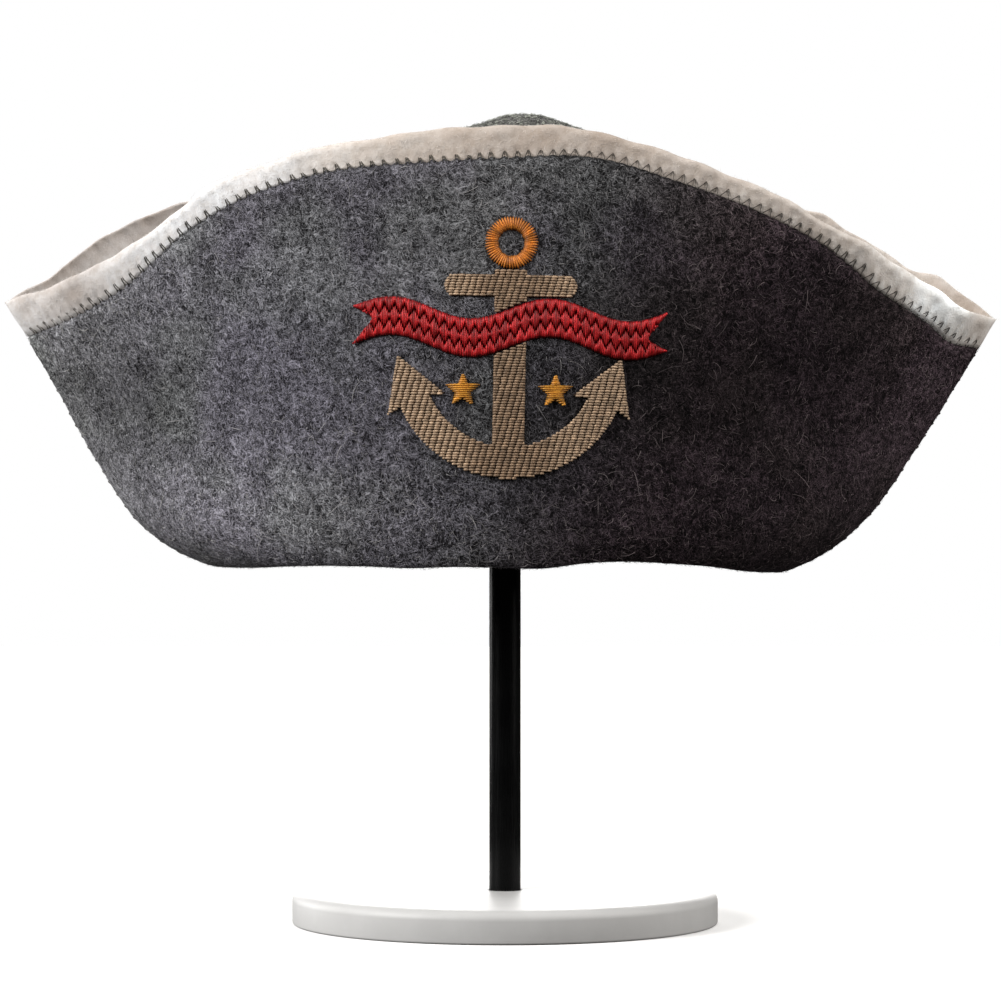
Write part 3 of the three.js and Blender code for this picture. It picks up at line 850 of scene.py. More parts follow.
def build_fuzz(name, rims, longest, half_width, wool, material, seed):
    """Short wool hairs that stand off an edge.

    Each rim is (points along the edge, the way off the edge, hairs to a mm, furthest that they stand off).
    """
    draw = np.random.default_rng(seed)
    made = []
    for points, off, density, height in rims:
        length = run_length(points)
        count = int(length[-1] * density)
        place = draw.uniform(0, length[-1], count)
        root, ahead, behind = (
            np.stack([np.interp(place + shift, length, points[:, axis]) for axis in range(3)], -1)
            for shift in (0, 0.5, -0.5)
        )
        along = unit(ahead - behind)
        away = np.array(off) / np.linalg.norm(off)
        away = unit(away - along * (along @ away)[:, None])
        across = np.cross(along, away)
        root = root + across * draw.normal(0, 0.7, count)[:, None] - away * 0.4
        t = np.linspace(0, 1, 3)
        size = draw.uniform(0.5, 1.0, count) * longest
        stand = np.minimum(draw.uniform(0.2, 1.0, count) * height + 0.4, size)
        sway = draw.normal(0, 1.0, count) * size * 0.6
        lean = draw.normal(0, 0.5, count) * size * 0.4
        ways = ((away, stand, np.sin(np.pi / 2 * t)), (along, sway, t**1.5), (across, lean, t))
        path = add_ways(root, *((way, amount[:, None] * growth) for way, amount, growth in ways))
        made.append(hairs(path, across, half_width * (1 - 0.6 * t), 1.0, wool_tint(draw, root, wool)))
    return make_hairs(name, made, material)


def outline_rims(side):
    """The free edges as points: the panel's hem, its two sides, and the trim's top."""
    across = np.linspace(-1, 1, 400)
    hem = wall_point(side, across, read_table(side, "hem", across), FELT / 2)
    top = trim_top(side, across)
    crest = trim_surface(side, across, top, -TRIM_FELT / 2)
    crest[:, 2] = top
    sides = []
    for end in (-1.0, 1.0):
        low, high = (read_table(side, column, np.array([end]))[0] for column in ("hem", "edge"))
        z = np.linspace(low, high, 80)
        x = end * half_reach(end, z, z[0])
        sides.append(np.stack([x, np.full(len(z), side * FELT / 2), z], -1))
    return hem, sides, crest


# Embroidery, in flat places measured from the emblem's middle

def emblem_surface(x, z, lift):
    """The flat place bent onto the front panel, at a lift above the felt.

    The panel's reach at the place is found by tries.
    """
    high = EMBLEM_Z + z
    across = (EMBLEM_X + x) / EMBLEM_FIRST_REACH
    for _ in range(3):
        across = (EMBLEM_X + x) / half_reach(across, high, read_table(-1, "hem", across))
    return wall_point(-1, across, high, -lift)


def wave(x):
    return RIBBON_Z + RIBBON_WAVE * np.sin(2 * np.pi * x / RIBBON_HALF_LENGTH)


def in_ribbon(x, z, growth=0.0):
    off = z - wave(x)
    inside = np.abs(off) < RIBBON_HALF_HEIGHT + growth
    notch = RIBBON_HALF_LENGTH - RIBBON_NOTCH * (1 - np.abs(off) / RIBBON_HALF_HEIGHT)
    return inside & (np.abs(x) < np.where(growth > 0, RIBBON_HALF_LENGTH, notch))


def in_fluke(x, z, side):
    radius = (ARMS_OUTER_RADIUS + ARMS_INNER_RADIUS) / 2
    outward = (side * math.sin(ARMS_HALF_ANGLE), -math.cos(ARMS_HALF_ANGLE))
    onward = (side * math.cos(ARMS_HALF_ANGLE), math.sin(ARMS_HALF_ANGLE))
    from_x = x - outward[0] * radius
    from_z = z - outward[1] * radius - ARMS_Z
    out = from_x * outward[0] + from_z * outward[1]
    on = from_x * onward[0] + from_z * onward[1]
    left = (FLUKE_LENGTH - on) / (FLUKE_LENGTH + FLUKE_BARB)
    barb = -FLUKE_BARB + (FLUKE_BARB - 1) * (1 - np.abs(out) / FLUKE_HALF_WIDTH)
    return (on > barb) & (np.abs(out) < FLUKE_HALF_WIDTH * left)


def in_anchor(x, z):
    shank = (np.abs(x) < SHANK_HALF_WIDTH) & (z < SHANK_TOP) & (z > ARMS_Z - ARMS_INNER_RADIUS - 2)
    bend = np.maximum(np.abs(x) - STOCK_HALF_LENGTH + STOCK_HALF_HEIGHT, 0)
    stock = np.hypot(bend, z - STOCK_Z) < STOCK_HALF_HEIGHT
    radius = np.hypot(x, z - ARMS_Z)
    angle = np.abs(np.arctan2(x, -(z - ARMS_Z)))
    arms = (radius < ARMS_OUTER_RADIUS) & (radius > ARMS_INNER_RADIUS) & (angle < ARMS_HALF_ANGLE)
    whole = shank | stock | arms | in_fluke(x, z, -1) | in_fluke(x, z, 1)
    return whole & ~in_ribbon(x, z, RIBBON_GAP)


def in_star(x, z, side):
    turn = np.arctan2(x - side * STAR_X, z - STAR_Z)
    radius = np.hypot(x - side * STAR_X, z - STAR_Z)
    sector = np.abs((turn + np.pi / 5) % (2 * np.pi / 5) - np.pi / 5)
    inner = STAR_RADIUS * STAR_INNER_SHARE
    tip = np.array([STAR_RADIUS, 0.0])
    notch = np.array([inner * math.cos(np.pi / 5), inner * math.sin(np.pi / 5)])
    side_on = (notch[0] - tip[0]) * (radius * np.sin(sector) - tip[1])
    side_off = (notch[1] - tip[1]) * (radius * np.cos(sector) - tip[0])
    return side_on - side_off > 0


def runs(inside, low, high, step=0.05):
    """The stretches between low and high where a function of the place is true."""
    places = np.arange(low, high, step)
    flags = np.concatenate([[False], inside(places), [False]])
    starts = np.flatnonzero(~flags[:-1] & flags[1:])
    ends = np.flatnonzero(flags[:-1] & ~flags[1:]) - 1
    return [(places[a], places[b]) for a, b in zip(starts, ends) if b > a + 4]


def stitches(starts, ends, half_width, half_height, arch, lift, sides, steps):
    """Threads between flat places, arched above the felt with their ends drawn in."""
    starts, ends = np.array(starts), np.array(ends)
    t = np.linspace(0, 1, steps)
    flat = starts[:, None, :] + (ends - starts)[:, None, :] * t[None, :, None]
    rise = np.broadcast_to(lift + arch * np.sin(np.pi * t) ** 0.55, flat.shape[:2])
    path = emblem_surface(flat[..., 0], flat[..., 1], rise)
    narrow = 0.6 + 0.4 * np.sin(np.pi * t) ** 0.5
    return tubes(path, facing(path, 1, -1), half_width * narrow, half_height * narrow, sides)


def thread_tints(count, sides, steps, spread, base=(1.0, 1.0, 1.0), ends=1.0):
    """A shade for each stitch over a base colour, with painted shade darkening it to the share ends
    where it goes into the felt.
    """
    shade = np.clip(rng.normal(1.0, spread, count), 0.6, 1.5)
    along = ends + (1 - ends) * np.sin(np.pi * np.linspace(0, 1, steps)) ** 0.6
    shade = np.repeat((shade[:, None] * along).ravel(), sides)
    return shade[:, None] * np.repeat(np.broadcast_to(base, (count, 3)), steps * sides, axis=0)


def sew(name, nodes, slot, material, *layers):
    """Layers of stitches as one piece.

    Each layer is its starts, its ends, its threads (half width, half height, arch, lift, sides, steps) and
    its shade (spread, base colour, and the share of light that painted shade leaves at the ends).
    """
    points, faces = join([stitches(starts, ends, *threads) for starts, ends, threads, _ in layers])
    tints = [thread_tints(len(starts), *threads[-2:], *shade) for starts, _, threads, shade in layers]
    return make_piece(name, to_world(points), faces, material, nodes, np.concatenate(tints))


def khaki_rows():
    """Starts and ends of the anchor's level stitches, with the joints in slanting columns."""
    starts = []
    ends = []
    for row, z in enumerate(np.arange(*ANCHOR_HEIGHTS, KHAKI_PITCH)):
        shift = row * KHAKI_SKEW
        for left, right in runs(lambda x: in_anchor(x, np.full_like(x, z)), -50, 50):
            first = math.floor((left - shift) / KHAKI_LENGTH) + 1
            cuts = np.arange(first, math.ceil((right - shift) / KHAKI_LENGTH)) * KHAKI_LENGTH + shift
            cuts = cuts[(cuts > left + 0.5) & (cuts < right - 0.5)]
            cuts = cuts + rng.normal(0, 0.12, len(cuts))
            marks = np.concatenate([[left], cuts, [right]])
            starts += [(a, z + rng.normal(0, 0.05)) for a in marks[:-1]]
            ends += [(b, z + rng.normal(0, 0.05)) for b in marks[1:]]
    return starts, ends


def build_khaki(material):
    """Level stitches over a layer of upright ones, as one piece for the whole anchor. The arms are paler."""
    low_starts = []
    low_ends = []
    for x in np.arange(-48, 48, 0.8):
        for low, high in runs(lambda z: in_anchor(np.full_like(z, x), z), *ANCHOR_HEIGHTS):
            cuts = np.linspace(low + 0.3, high - 0.3, max(2, int((high - low) / 6) + 2))
            low_starts += [(x, a) for a in cuts[:-1]]
            low_ends += [(x, b) for b in cuts[1:]]
    starts, ends = khaki_rows()
    pale = 1 + smoothstep(np.abs(np.array(starts)[:, :1]), 9, 22) * np.array([0.45, 0.52, 0.58])
    sew(
        "stitches_anchor", ["emblem_anchor_head", "emblem_anchor_foot"], "khaki_thread", material,
        # The upright layer under the level stitches is darker: painted shade
        (low_starts, low_ends, (0.5, 0.35, 0.1, 0.15, 4, 3), (0.05, (0.45, 0.4, 0.35))),
        (starts, ends, (0.52, 0.42, 0.5, 0.45, 6, 6), (0.15, pale, 0.5)),
    )


def build_red(material):
    """Upright threads in three bands, which meet along sawtooth lines, over a layer of level ones."""
    starts = []
    ends = []
    heights = np.arange(-RIBBON_HALF_HEIGHT, RIBBON_HALF_HEIGHT, 0.05)
    for x in np.arange(-RIBBON_HALF_LENGTH + 0.3, RIBBON_HALF_LENGTH - 0.2, 0.6):
        if in_ribbon(np.full_like(heights, x), wave(x) + heights).sum() < RIBBON_LEAST_STEPS:
            continue
        for low, high in runs(lambda off: in_ribbon(np.full_like(off, x), wave(x) + off), -7.6, 7.6):
            marks = [low, high]
            for line, shift in ((-2.6, 0.0), (2.9, 0.5)):
                saw = abs(((x / SAW_PERIOD + shift) % 1) * 2 - 1) * 2 - 1
                place = line + SAW_TOOTH * saw
                if low + 0.8 < place < high - 0.8:
                    marks.append(place)
            marks.sort()
            for a, b in zip(marks[:-1], marks[1:]):
                starts.append((x + rng.normal(0, 0.05), wave(x) + a + 0.08))
                ends.append((x + rng.normal(0, 0.05), wave(x) + b - 0.08))
    low_starts = []
    low_ends = []
    for off in np.arange(-6.9, 7.0, 0.9):
        for a in np.arange(-RIBBON_HALF_LENGTH + 1.5, RIBBON_HALF_LENGTH - 1.4, 3.0):
            b = min(a + 3.0, RIBBON_HALF_LENGTH - 1.5)
            if in_ribbon(np.array([a, b]), np.array([wave(a) + off, wave(b) + off])).all():
                low_starts.append((a, wave(a) + off))
                low_ends.append((b, wave(b) + off))
    sew(
        "stitches_ribbon", ["emblem_ribbon"], "red_thread", material,
        # The level layer under the upright stitches is darker: painted shade
        (low_starts, low_ends, (0.55, 0.35, 0.1, 0.15, 4, 3), (0.05, (0.2, 0.15, 0.15))),
        (starts, ends, (0.35, 0.36, 1.0, 0.3, 5, 7), (0.27, (1.0, 1.0, 1.0), 0.22)),
    )


def build_ring(material):
    """Satin threads that run outward all round the ring."""
    turn = np.linspace(0, 2 * np.pi, 56, endpoint=False)
    marks = []
    for radius, twist in ((RING_INNER_RADIUS, 0.0), (RING_OUTER_RADIUS, 0.06)):
        radius = radius + rng.normal(0, 0.1, len(turn))
        marks.append(np.stack([radius * np.cos(turn + twist), RING_Z + radius * np.sin(turn + twist)], -1))
    threads = (*marks, (0.42, 0.45, 1.0, 0.25, 6, 8), (0.26, (1.1, 1.1, 1.1), 0.3))
    sew("stitches_ring", ["emblem_ring"], "orange_thread", material, threads)


def build_star(side, name, material):
    """Level satin threads, one for each stretch of each row."""
    starts = []
    ends = []
    low, high = side * STAR_X - STAR_RADIUS - 1, side * STAR_X + STAR_RADIUS + 1
    for z in np.arange(STAR_Z - STAR_RADIUS, STAR_Z + STAR_RADIUS, 0.75):
        for left, right in runs(lambda x: in_star(x, np.full_like(x, z), side), low, high):
            if right - left > 0.6:
                starts.append((left, z + rng.normal(0, 0.04)))
                ends.append((right, z + 0.25 + rng.normal(0, 0.04)))
    threads = (starts, ends, (0.43, 0.45, 0.9, 0.25, 6, 8), (0.26, (1.2, 1.6, 1.4), 0.4))
    sew(f"stitches_star_{name}", [f"emblem_star_{name}"], "orange_thread", material, threads)


# Stand pieces

def turned_piece(name, profile, sides, material, node):
    """A profile of radius and height turned about the stand's axis. It starts and ends on the axis."""
    profile = np.array(profile)
    middle = profile[1:-1]
    turn = np.linspace(0, 2 * np.pi, sides, endpoint=False)[:, None]
    x = STAND_X + middle[:, 0] * np.cos(turn)
    y = middle[:, 0] * np.sin(turn)
    points = np.stack(np.broadcast_arrays(x, y, middle[:, 1]), -1).reshape(-1, 3)
    poles = np.array([[STAND_X, 0, profile[0, 1]], [STAND_X, 0, profile[-1, 1]]])
    count = len(middle)
    quads = ring_faces(sides, count, True)
    quads = quads[quads[:, 0] % count != count - 1]
    foot = fan(sides, count, 0, len(points), False)
    top = fan(sides, count, count - 1, len(points) + 1, True)
    points = np.concatenate([points, poles]) * MM
    return make_piece(name, points, [quads, foot, top], material, [node])


def arc(centre_radius, centre_height, radius, start, end, steps):
    turn = np.radians(np.linspace(start, end, steps))
    return [(centre_radius + radius * math.cos(a), centre_height + radius * math.sin(a)) for a in turn]


def build_stand(lacquer, steel):
    inside = BASE_RADIUS - BASE_ROUND
    profile = [(0, 0), (BASE_RADIUS * 0.5, 0), (BASE_RADIUS - 1.4, 0)]
    profile += arc(BASE_RADIUS - 1.0, 1.0, 1.0, -90, 0, 5)
    profile += arc(inside, BASE_HEIGHT - BASE_ROUND, BASE_ROUND, 0, 90, 10)
    profile += [(BASE_RADIUS * 0.5, BASE_HEIGHT)]
    profile += arc(SOCKET_RADIUS + 0.6, BASE_HEIGHT - 0.6, 0.6, 90, 180, 4)
    profile += [(SOCKET_RADIUS, BASE_HEIGHT - SOCKET_DEPTH), (0, BASE_HEIGHT - SOCKET_DEPTH)]
    turned_piece("lacquered_base", profile, 200, lacquer, "stand_base")
    profile = [(0, ROD_BOTTOM)]
    profile += arc(ROD_RADIUS - 0.5, ROD_BOTTOM + 0.5, 0.5, -90, 0, 4)
    profile += [(ROD_RADIUS, 80), (ROD_RADIUS, 150), (ROD_RADIUS, 220)]
    profile += arc(ROD_RADIUS - 0.5, ROD_TOP - 0.5, 0.5, 0, 90, 4)
    profile += [(0, ROD_TOP)]
    turned_piece("painted_rod", profile, 96, steel, "stand_rod")
    top = HEM_HEIGHT + CROWN_HEIGHT - FELT - REST_GAP
    profile = [(0, REST_BOTTOM), (REST_RADIUS - 1, REST_BOTTOM)]
    for radius in np.linspace(REST_RADIUS, 0, 16):
        share = radius / ((CROWN_HALF_WIDTH - FELT) * REST_SQUEEZE)
        drop = (CROWN_HEIGHT - FELT) * (1 - (1 - share * share) ** (CROWN_FULLNESS / 2))
        profile.append((radius, top - drop))
    turned_piece("inner_rest", profile, 72, steel, "stand_rest")


# Materials

class Shader:
    """A material whose nodes are added one call at a time."""

    def __init__(self, name, roughness, specular, **values):
        self.material = bpy.data.materials.new(name)
        self.material.use_nodes = True
        self.tree = self.material.node_tree
        self.surface = self.tree.nodes["Principled BSDF"]
        values.update(Roughness=roughness, Specular_IOR_Level=specular)
        for socket, value in values.items():
            self.surface.inputs[socket.replace("_", " ")].default_value = value
        self.place = self.node("ShaderNodeTexCoord").outputs["Object"]

    def plug(self, socket, value):
        if isinstance(value, bpy.types.NodeSocket):
            self.tree.links.new(value, socket)
        else:
            socket.default_value = value

    def node(self, kind, sockets=None, **settings):
        """A new node with its settings, and a value or a link for some of its sockets."""
        made = self.tree.nodes.new(kind)
        for key, value in settings.items():
            setattr(made, key, value)
        for socket, value in (sockets or {}).items():
            self.plug(made.inputs[socket], value)
        return made

    def math(self, operation, first, second=0.0, clamp=False):
        settings = {"operation": operation, "use_clamp": clamp}
        return self.node("ShaderNodeMath", {0: first, 1: second}, **settings).outputs[0]

    def add(self, first, second, share, clamp=False):
        return self.math("ADD", first, self.math("MULTIPLY", second, share), clamp)

    def add_vectors(self, first, second):
        return self.node("ShaderNodeVectorMath", {0: first, 1: second}, operation="ADD").outputs[0]

    def noise(self, place, size, detail=2.0, roughness=0.5, colour=False):
        """Noise whose features are about size metres across."""
        sockets ={"Vector": place, "Scale": 1 / size, "Detail": detail, "Roughness": roughness}
        return self.node("ShaderNodeTexNoise", sockets).outputs["Color" if colour else "Fac"]

    def stretch(self, place, size, turn=(0, 0, 0), offset=(0, 0, 0)):
        """A place turned and divided by a size for each way."""
        sockets = {"Vector": place, "Scale": size, "Rotation": turn, "Location": offset}
        return self.node("ShaderNodeMapping", sockets, vector_type="TEXTURE").outputs[0]

    def rescale(self, value, low, high, new_low=0.0, new_high=1.0):
        sockets = {"Value": value, "From Min": low, "From Max": high, "To Min": new_low, "To Max": new_high}
        return self.node("ShaderNodeMapRange", sockets, interpolation_type="SMOOTHSTEP").outputs[0]

    def mix(self, share, first, second, blend="MIX"):
        sockets = {0: share, 6: first, 7: second}
        return self.node("ShaderNodeMix", sockets, data_type="RGBA", blend_type=blend).outputs[2]

    def attribute(self, output="Color"):
        return self.node("ShaderNodeAttribute", attribute_name="tint").outputs[output]

    def bump(self, height, depth, strength):
        sockets = {"Strength": strength, "Distance": depth, "Height": height}
        self.plug(self.surface.inputs["Normal"], self.node("ShaderNodeBump", sockets).outputs[0])

    def finish(self, colour, tinted=False):
        if tinted:
            colour = self.mix(1.0, colour, self.attribute(), "MULTIPLY")
        self.plug(self.surface.inputs["Base Color"], colour)
        return self.material


def opaque(red, green, blue):
    return (red, green, blue, 1.0)


def tangled_fibres(shader, layers, width, length, warp, seed):
    """Thin pale lines that lie every way, one stretched noise for each direction, broken into short runs."""
    draw = np.random.default_rng(seed)
    bend = shader.noise(shader.place, 0.005, 1.0, colour=True)
    shift = shader.stretch(bend, (1 / warp,) * 3, (0, 0, 0), (0.5, 0.5, 0.5))
    place = shader.add_vectors(shader.place, shift)
    total = None
    for layer in range(layers):
        turn = (draw.uniform(-0.3, 0.3), math.pi * (layer + draw.uniform(-0.3, 0.3)) / layers, 0)
        offset = tuple(draw.uniform(-1, 1, 3))
        spot = shader.stretch(place, (length, width * 3, width * 3), turn, offset)
        off = shader.math("ABSOLUTE", shader.math("SUBTRACT", shader.noise(spot, 1.0, 0.5), 0.5))
        line = shader.rescale(off, 0.0, 0.04, draw.uniform(0.5, 1.0), 0.0)
        patch = shader.noise(shader.stretch(place, (width * 6,) * 3, turn, offset), 1.0, 1.0)
        line = shader.math("MULTIPLY", line, shader.rescale(patch, 0.42, 0.58))
        total = line if total is None else shader.math("MAXIMUM", total, line)
    return total


def felt_material(name, dark, light, seed):
    """Grey wool: dark gaps, mottled clumps and tangled pale fibres, in the tone of the tint at each place."""
    shader = Shader(name, 1.0, 0.1)
    fibres = tangled_fibres(shader, 12, 0.00045, 0.009, 0.003, seed)
    fine = shader.rescale(shader.noise(shader.place, 0.0004, 1.0, 0.6), 0.4, 0.6)
    clump = shader.rescale(shader.noise(shader.place, 0.0026, 3.0, 0.65), 0.36, 0.64)
    cloud = shader.rescale(shader.noise(shader.place, 0.012, 2.0, 0.5), 0.3, 0.7)
    level = shader.add(shader.math("MULTIPLY", fibres, 0.74), fine, 0.27)
    level = shader.add(level, clump, 0.12)
    level = shader.math("ADD", level, shader.rescale(cloud, 0.0, 1.0, -0.01, 0.11), clamp=True)
    steepness = shader.math("ADD", shader.math("MULTIPLY", shader.attribute("Alpha"), 0.9), 2.0)
    colour = shader.mix(shader.math("POWER", level, steepness), dark, light)
    hue = shader.rescale(shader.noise(shader.place, 0.045, 2.0, 0.5), 0.4, 0.62)
    hue = shader.mix(hue, opaque(0.99, 0.97, 1.045), opaque(0.985, 1.01, 0.99))
    colour = shader.mix(1.0, colour, hue, "MULTIPLY")
    shader.bump(shader.add(fibres, fine, 0.8), 0.0004, 0.5)
    return shader.finish(colour, tinted=True)


def cream_material():
    """Cream felt: soft clouds, faint tan patches and pressed fibres."""
    shader = Shader("cream_felt", 0.95, 0.1)
    fibres = tangled_fibres(shader, 5, 0.0006, 0.006, 0.004, 7)
    fine = shader.noise(shader.place, 0.0006, 2.0, 0.6)
    spot = shader.noise(shader.place, 0.0026, 2.0, 0.6)
    cloud = shader.noise(shader.place, 0.009, 2.0, 0.5)
    stain = shader.noise(shader.place, 0.028, 2.0, 0.5)
    colour = shader.mix(shader.rescale(cloud, 0.35, 0.7), opaque(0.88, 0.83, 0.78), opaque(0.97, 0.95, 0.92))
    colour = shader.mix(shader.rescale(stain, 0.6, 0.75, 0.0, 0.3), colour, opaque(0.6, 0.5, 0.41))
    colour = shader.mix(shader.rescale(spot, 0.4, 0.7, 0.0, 0.45), colour, opaque(0.66, 0.6, 0.53))
    colour = shader.mix(shader.rescale(fine, 0.5, 0.75, 0.0, 0.3), colour, opaque(0.62, 0.56, 0.5))
    colour = shader.mix(shader.math("MULTIPLY", fibres, 0.35), colour, opaque(1.0, 0.99, 0.97))
    height = shader.math("ADD", shader.math("MULTIPLY", fibres, 0.5), fine)
    shader.bump(height, 0.0003, 0.5)
    return shader.finish(colour, tinted=True)


def fibre_material():
    shader = Shader("wool_fibre", 0.8, 0.15)
    fine = shader.noise(shader.place, 0.004, 1.0)
    colour = shader.mix(1.0, shader.attribute(), shader.rescale(fine, 0.2, 0.8, 0.75, 1.2), "MULTIPLY")
    return shader.finish(colour)


def thread_material(name, dark, light, roughness, patches=True):
    """Twisted thread: fine ridges along each strand, and a shade for each stitch."""
    shader = Shader(name, roughness, 0.3)
    ply = shader.noise(shader.place, 0.0003, 2.0, 0.6)
    colour = shader.mix(shader.rescale(ply, 0.3, 0.7), dark, light)
    if patches:
        patch = shader.noise(shader.place, 0.003, 1.0)
        colour = shader.mix(shader.rescale(patch, 0.4, 0.7, 0.0, 0.25), colour, dark)
    shader.bump(ply, 0.0001, 0.5)
    return shader.finish(colour, tinted=True)


def steel_material():
    shader = Shader("black_paint", 0.34, 0.09)
    grain = shader.noise(shader.stretch(shader.place, (0.0006, 0.0006, 0.012)), 1.0)
    wear = shader.rescale(shader.noise(shader.place, 0.02, 3.0), 0.4, 0.7)
    colour = shader.mix(wear, opaque(0.0014, 0.0015, 0.0016), opaque(0.003, 0.0031, 0.0032))
    rough = shader.rescale(grain, 0.3, 0.7, 0.24, 0.34)
    shader.plug(shader.surface.inputs["Roughness"], rough)
    shader.bump(grain, 0.00004, 0.4)
    return shader.finish(colour)


def lacquer_material():
    shader = Shader("white_lacquer", 0.45, 0.4)
    peel = shader.noise(shader.place, 0.0012, 1.0)
    dust = shader.noise(shader.place, 0.015, 4.0, 0.6)
    colour = shader.mix(shader.rescale(dust, 0.35, 0.75), opaque(0.5, 0.5, 0.495), opaque(0.53, 0.53, 0.525))
    shader.bump(peel, 0.00003, 0.3)
    return shader.finish(colour)


def floor_material():
    shader = Shader("pale_floor", 0.9, 0.0, Emission_Color=opaque(1, 1, 1), Emission_Strength=0.12)
    tone = shader.noise(shader.place, 0.3, 2.0)
    return shader.finish(shader.mix(tone, opaque(0.92, 0.92, 0.915), opaque(0.95, 0.95, 0.945)))


# Scene around the object

def add_sun(name, azimuth, elevation, angle, factor, colour):
    """A soft sun. Azimuth 0 is the front and -90 the left, and factor 1 lights a facing white to 1."""
    data = bpy.data.lights.new(name, "SUN")
    data.angle = math.radians(angle)
    data.energy = math.pi * factor
    data.color = colour
    add_object(name, data).rotation_euler = (math.radians(90 - elevation), 0, math.radians(azimuth))


def add_world(fill):
    """White where the camera sees it, and a dim warm fill elsewhere."""
    world = bpy.data.worlds.new("studio")
    world.use_nodes = True
    tree = world.node_tree
    background = tree.nodes["Background"]
    path = tree.nodes.new("ShaderNodeLightPath")
    mix = tree.nodes.new("ShaderNodeMix")
    mix.data_type = "RGBA"
    mix.inputs[6].default_value = fill
    mix.inputs[7].default_value = (1, 1, 1, 1)
    tree.links.new(path.outputs["Is Camera Ray"], mix.inputs[0])
    tree.links.new(mix.outputs[2], background.inputs["Color"])
    bpy.context.scene.world = world


def add_floor():
    mesh = bpy.data.meshes.new("floor")
    reach = FLOOR_REACH * MM
    corners = [(-reach, -reach, 0), (reach, -reach, 0), (reach, reach, 0), (-reach, reach, 0)]
    mesh.from_pydata(corners, [], [(0, 1, 2, 3)])
    mesh.materials.append(floor_material())
    floor = add_object("floor", mesh)
    floor.visible_diffuse = False
    floor.visible_glossy = False


def add_camera():
    data = bpy.data.cameras.new("camera")
    data.sensor_width = SENSOR
    data.lens = SENSOR * CAMERA_DISTANCE / VIEW_WIDTH
    data.clip_start = 0.05
    data.clip_end = 20.0
    camera = add_object("camera", data)
    camera.location = (CAMERA_X * MM, -CAMERA_DISTANCE * MM, CAMERA_HEIGHT * MM)
    camera.rotation_euler = (math.radians(90), 0, 0)
    bpy.context.scene.camera = camera


bpy.context.scene.view_settings.view_transform = "Standard"
add_camera()
add_floor()
add_world((0.05, 0.047, 0.045, 1))
add_sun("key", -65, 27, 35, 1.3, (1.0, 0.985, 0.97))
add_sun("top", 0, 80, 100, 0.3, (1.0, 0.99, 0.98))
add_sun("right", 75, 28, 50, 0.78, (1.0, 0.97, 0.94))
add_sun("back_left", -125, 12, 30, 0.42, (1.0, 0.99, 0.98))
add_sun("back", 180, 16, 40, 0.6, (1.0, 0.99, 0.98))

grey_felt = felt_material("grey_felt", opaque(0.006, 0.005, 0.006), opaque(0.88, 0.87, 0.92), 3)
crown_felt = felt_material("crown_felt", opaque(0.006, 0.007, 0.005), opaque(1.0, 1.0, 0.91), 5)
cream_felt = cream_material()
wool_fibre = fibre_material()
zigzag_thread = thread_material(
    "zigzag_thread", opaque(0.014, 0.013, 0.01), opaque(0.055, 0.05, 0.04), 0.6, patches=False
)
khaki_thread = thread_material("khaki_thread", opaque(0.1, 0.058, 0.035), opaque(0.5, 0.345, 0.22), 0.5)
red_thread = thread_material("red_thread", opaque(0.18, 0.001, 0.002), opaque(0.8, 0.03, 0.035), 0.42)
orange_thread = thread_material("orange_thread", opaque(0.22, 0.045, 0.004), opaque(0.88, 0.32, 0.05), 0.42)

SIDES = ((-1, "front"), (1, "back"))
HANDS = ((-1, "left"), (1, "right"))
for side, name in SIDES:
    build_panel(side, f"felt_brim_{name}", f"brim_{name}", grey_felt)
build_crown(crown_felt)
for side, name in SIDES:
    build_trim(side, f"felt_trim_{name}", f"trim_{name}", cream_felt)
for side, name in SIDES:
    build_zigzag(side, f"zigzag_{name}", zigzag_thread)
for hand, name in HANDS:
    build_seam(float(hand), f"stitches_seam_{name}", zigzag_thread)
build_khaki(khaki_thread)
build_red(red_thread)
build_ring(orange_thread)
for hand, name in HANDS:
    build_star(hand, name, orange_thread)

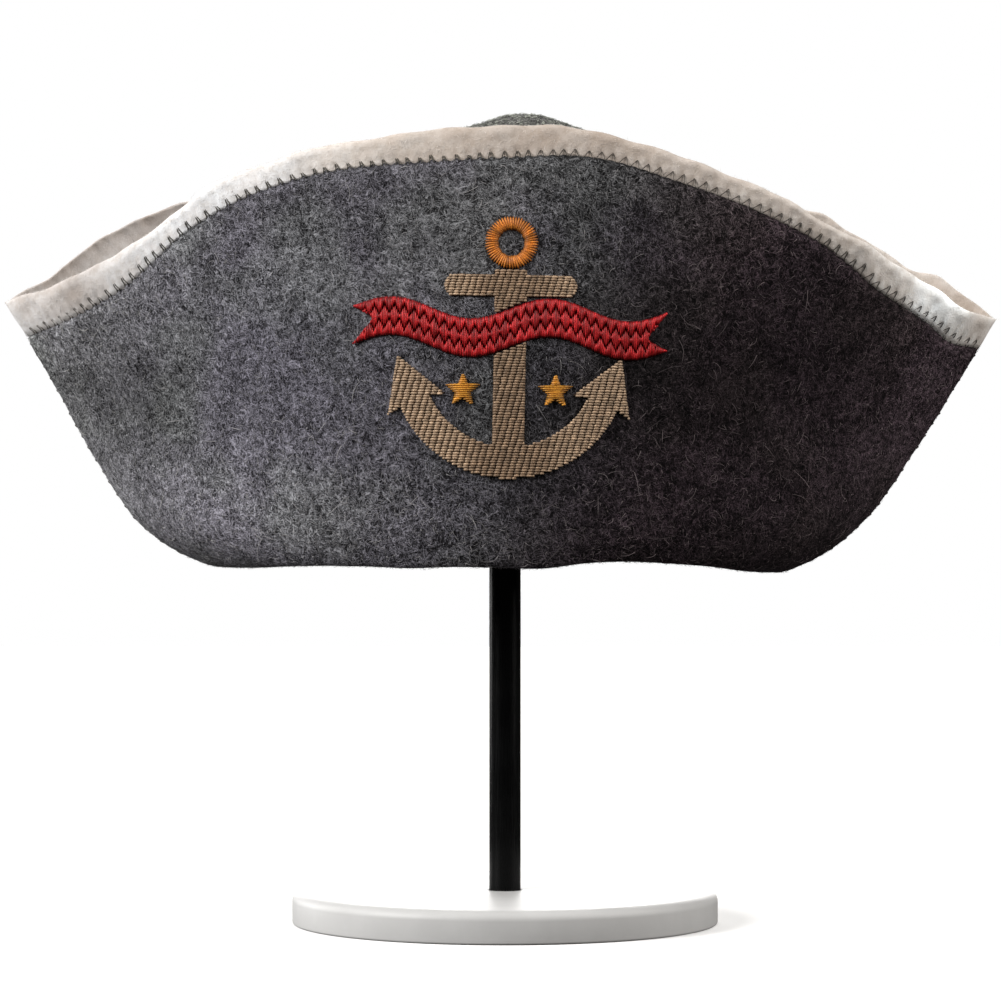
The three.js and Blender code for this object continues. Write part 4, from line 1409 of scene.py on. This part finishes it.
# Loose fibres: their colours, and how much of the grey felt's tone and painted light and shade they take
BRIM_WOOL = {"slot": "brim_felt", "tone": 0.6, "colours": ((0.06, 0.055, 0.06), (0.85, 0.83, 0.83))}
TRIM_WOOL = {"slot": "trim_felt", "tone": 0.0, "colours": ((0.75, 0.7, 0.65), (0.95, 0.93, 0.9))}
CROWN_WOOL = {"slot": "crown_felt", "tone": 0.4, "colours": ((0.03, 0.034, 0.027), (0.95, 1.0, 0.87))}
BRIM_FIBRES = {-1: (6500, 1200, 260), 1: (5000, 700, 200)}
for seed, (side, name) in enumerate(SIDES, 11):
    short, middling, long = BRIM_FIBRES[side]
    build_fibres(
        f"fibres_brim_{name}",
        lambda across, z: panel_surface(side, across, z),
        lambda across: read_table(side, "hem", across),
        lambda across: read_table(side, "edge", across) + 0.3,
        ((short, 1.5, 4.5, 3, 0.09, 0.4), (middling, 3.0, 8.0, 5, 0.1, 0.6), (long, 5.0, 14.0, 7, 0.12, 0.9)),
        BRIM_WOOL, wool_fibre, seed, -side, 0.5,
    )
    build_fibres(
        f"fibres_trim_{name}",
        lambda across, z: trim_surface(side, across, z),
        lambda across: read_table(side, "edge", across) + 0.5,
        lambda across: read_table(side, "trim", across) - 0.4,
        ((1500, 1.0, 3.0, 3, 0.05, 0.15),),
        TRIM_WOOL, wool_fibre, seed + 10, -side,
    )
    hem, sides, crest = outline_rims(side)
    rims = [(hem, (0, side * 0.3, -1), 3.0, 0.35)]
    rims += [(line, (end, side * 0.3, -0.4), 4.0, 0.35) for end, line in zip((-1, 1), sides)]
    build_fuzz(f"fuzz_brim_{name}", rims, 2.2, 0.06, BRIM_WOOL, wool_fibre, seed + 20)
    rims = [(crest, (0, 0, 1), 4.0, 0.3)]
    build_fuzz(f"fuzz_trim_{name}", rims, 1.6, 0.04, TRIM_WOOL, wool_fibre, seed + 40)

build_fibres(
    "fibres_crown",
    lambda across, z: crown_point(np.pi * across, z / CROWN_HEIGHT, 0.0),
    lambda across: np.full_like(across, 0.55 * CROWN_HEIGHT),
    lambda across: np.full_like(across, 0.97 * CROWN_HEIGHT),
    ((3500, 1.5, 5.0, 3, 0.11, 0.7),),
    CROWN_WOOL, wool_fibre, 61,
)
build_stand(lacquer_material(), steel_material())
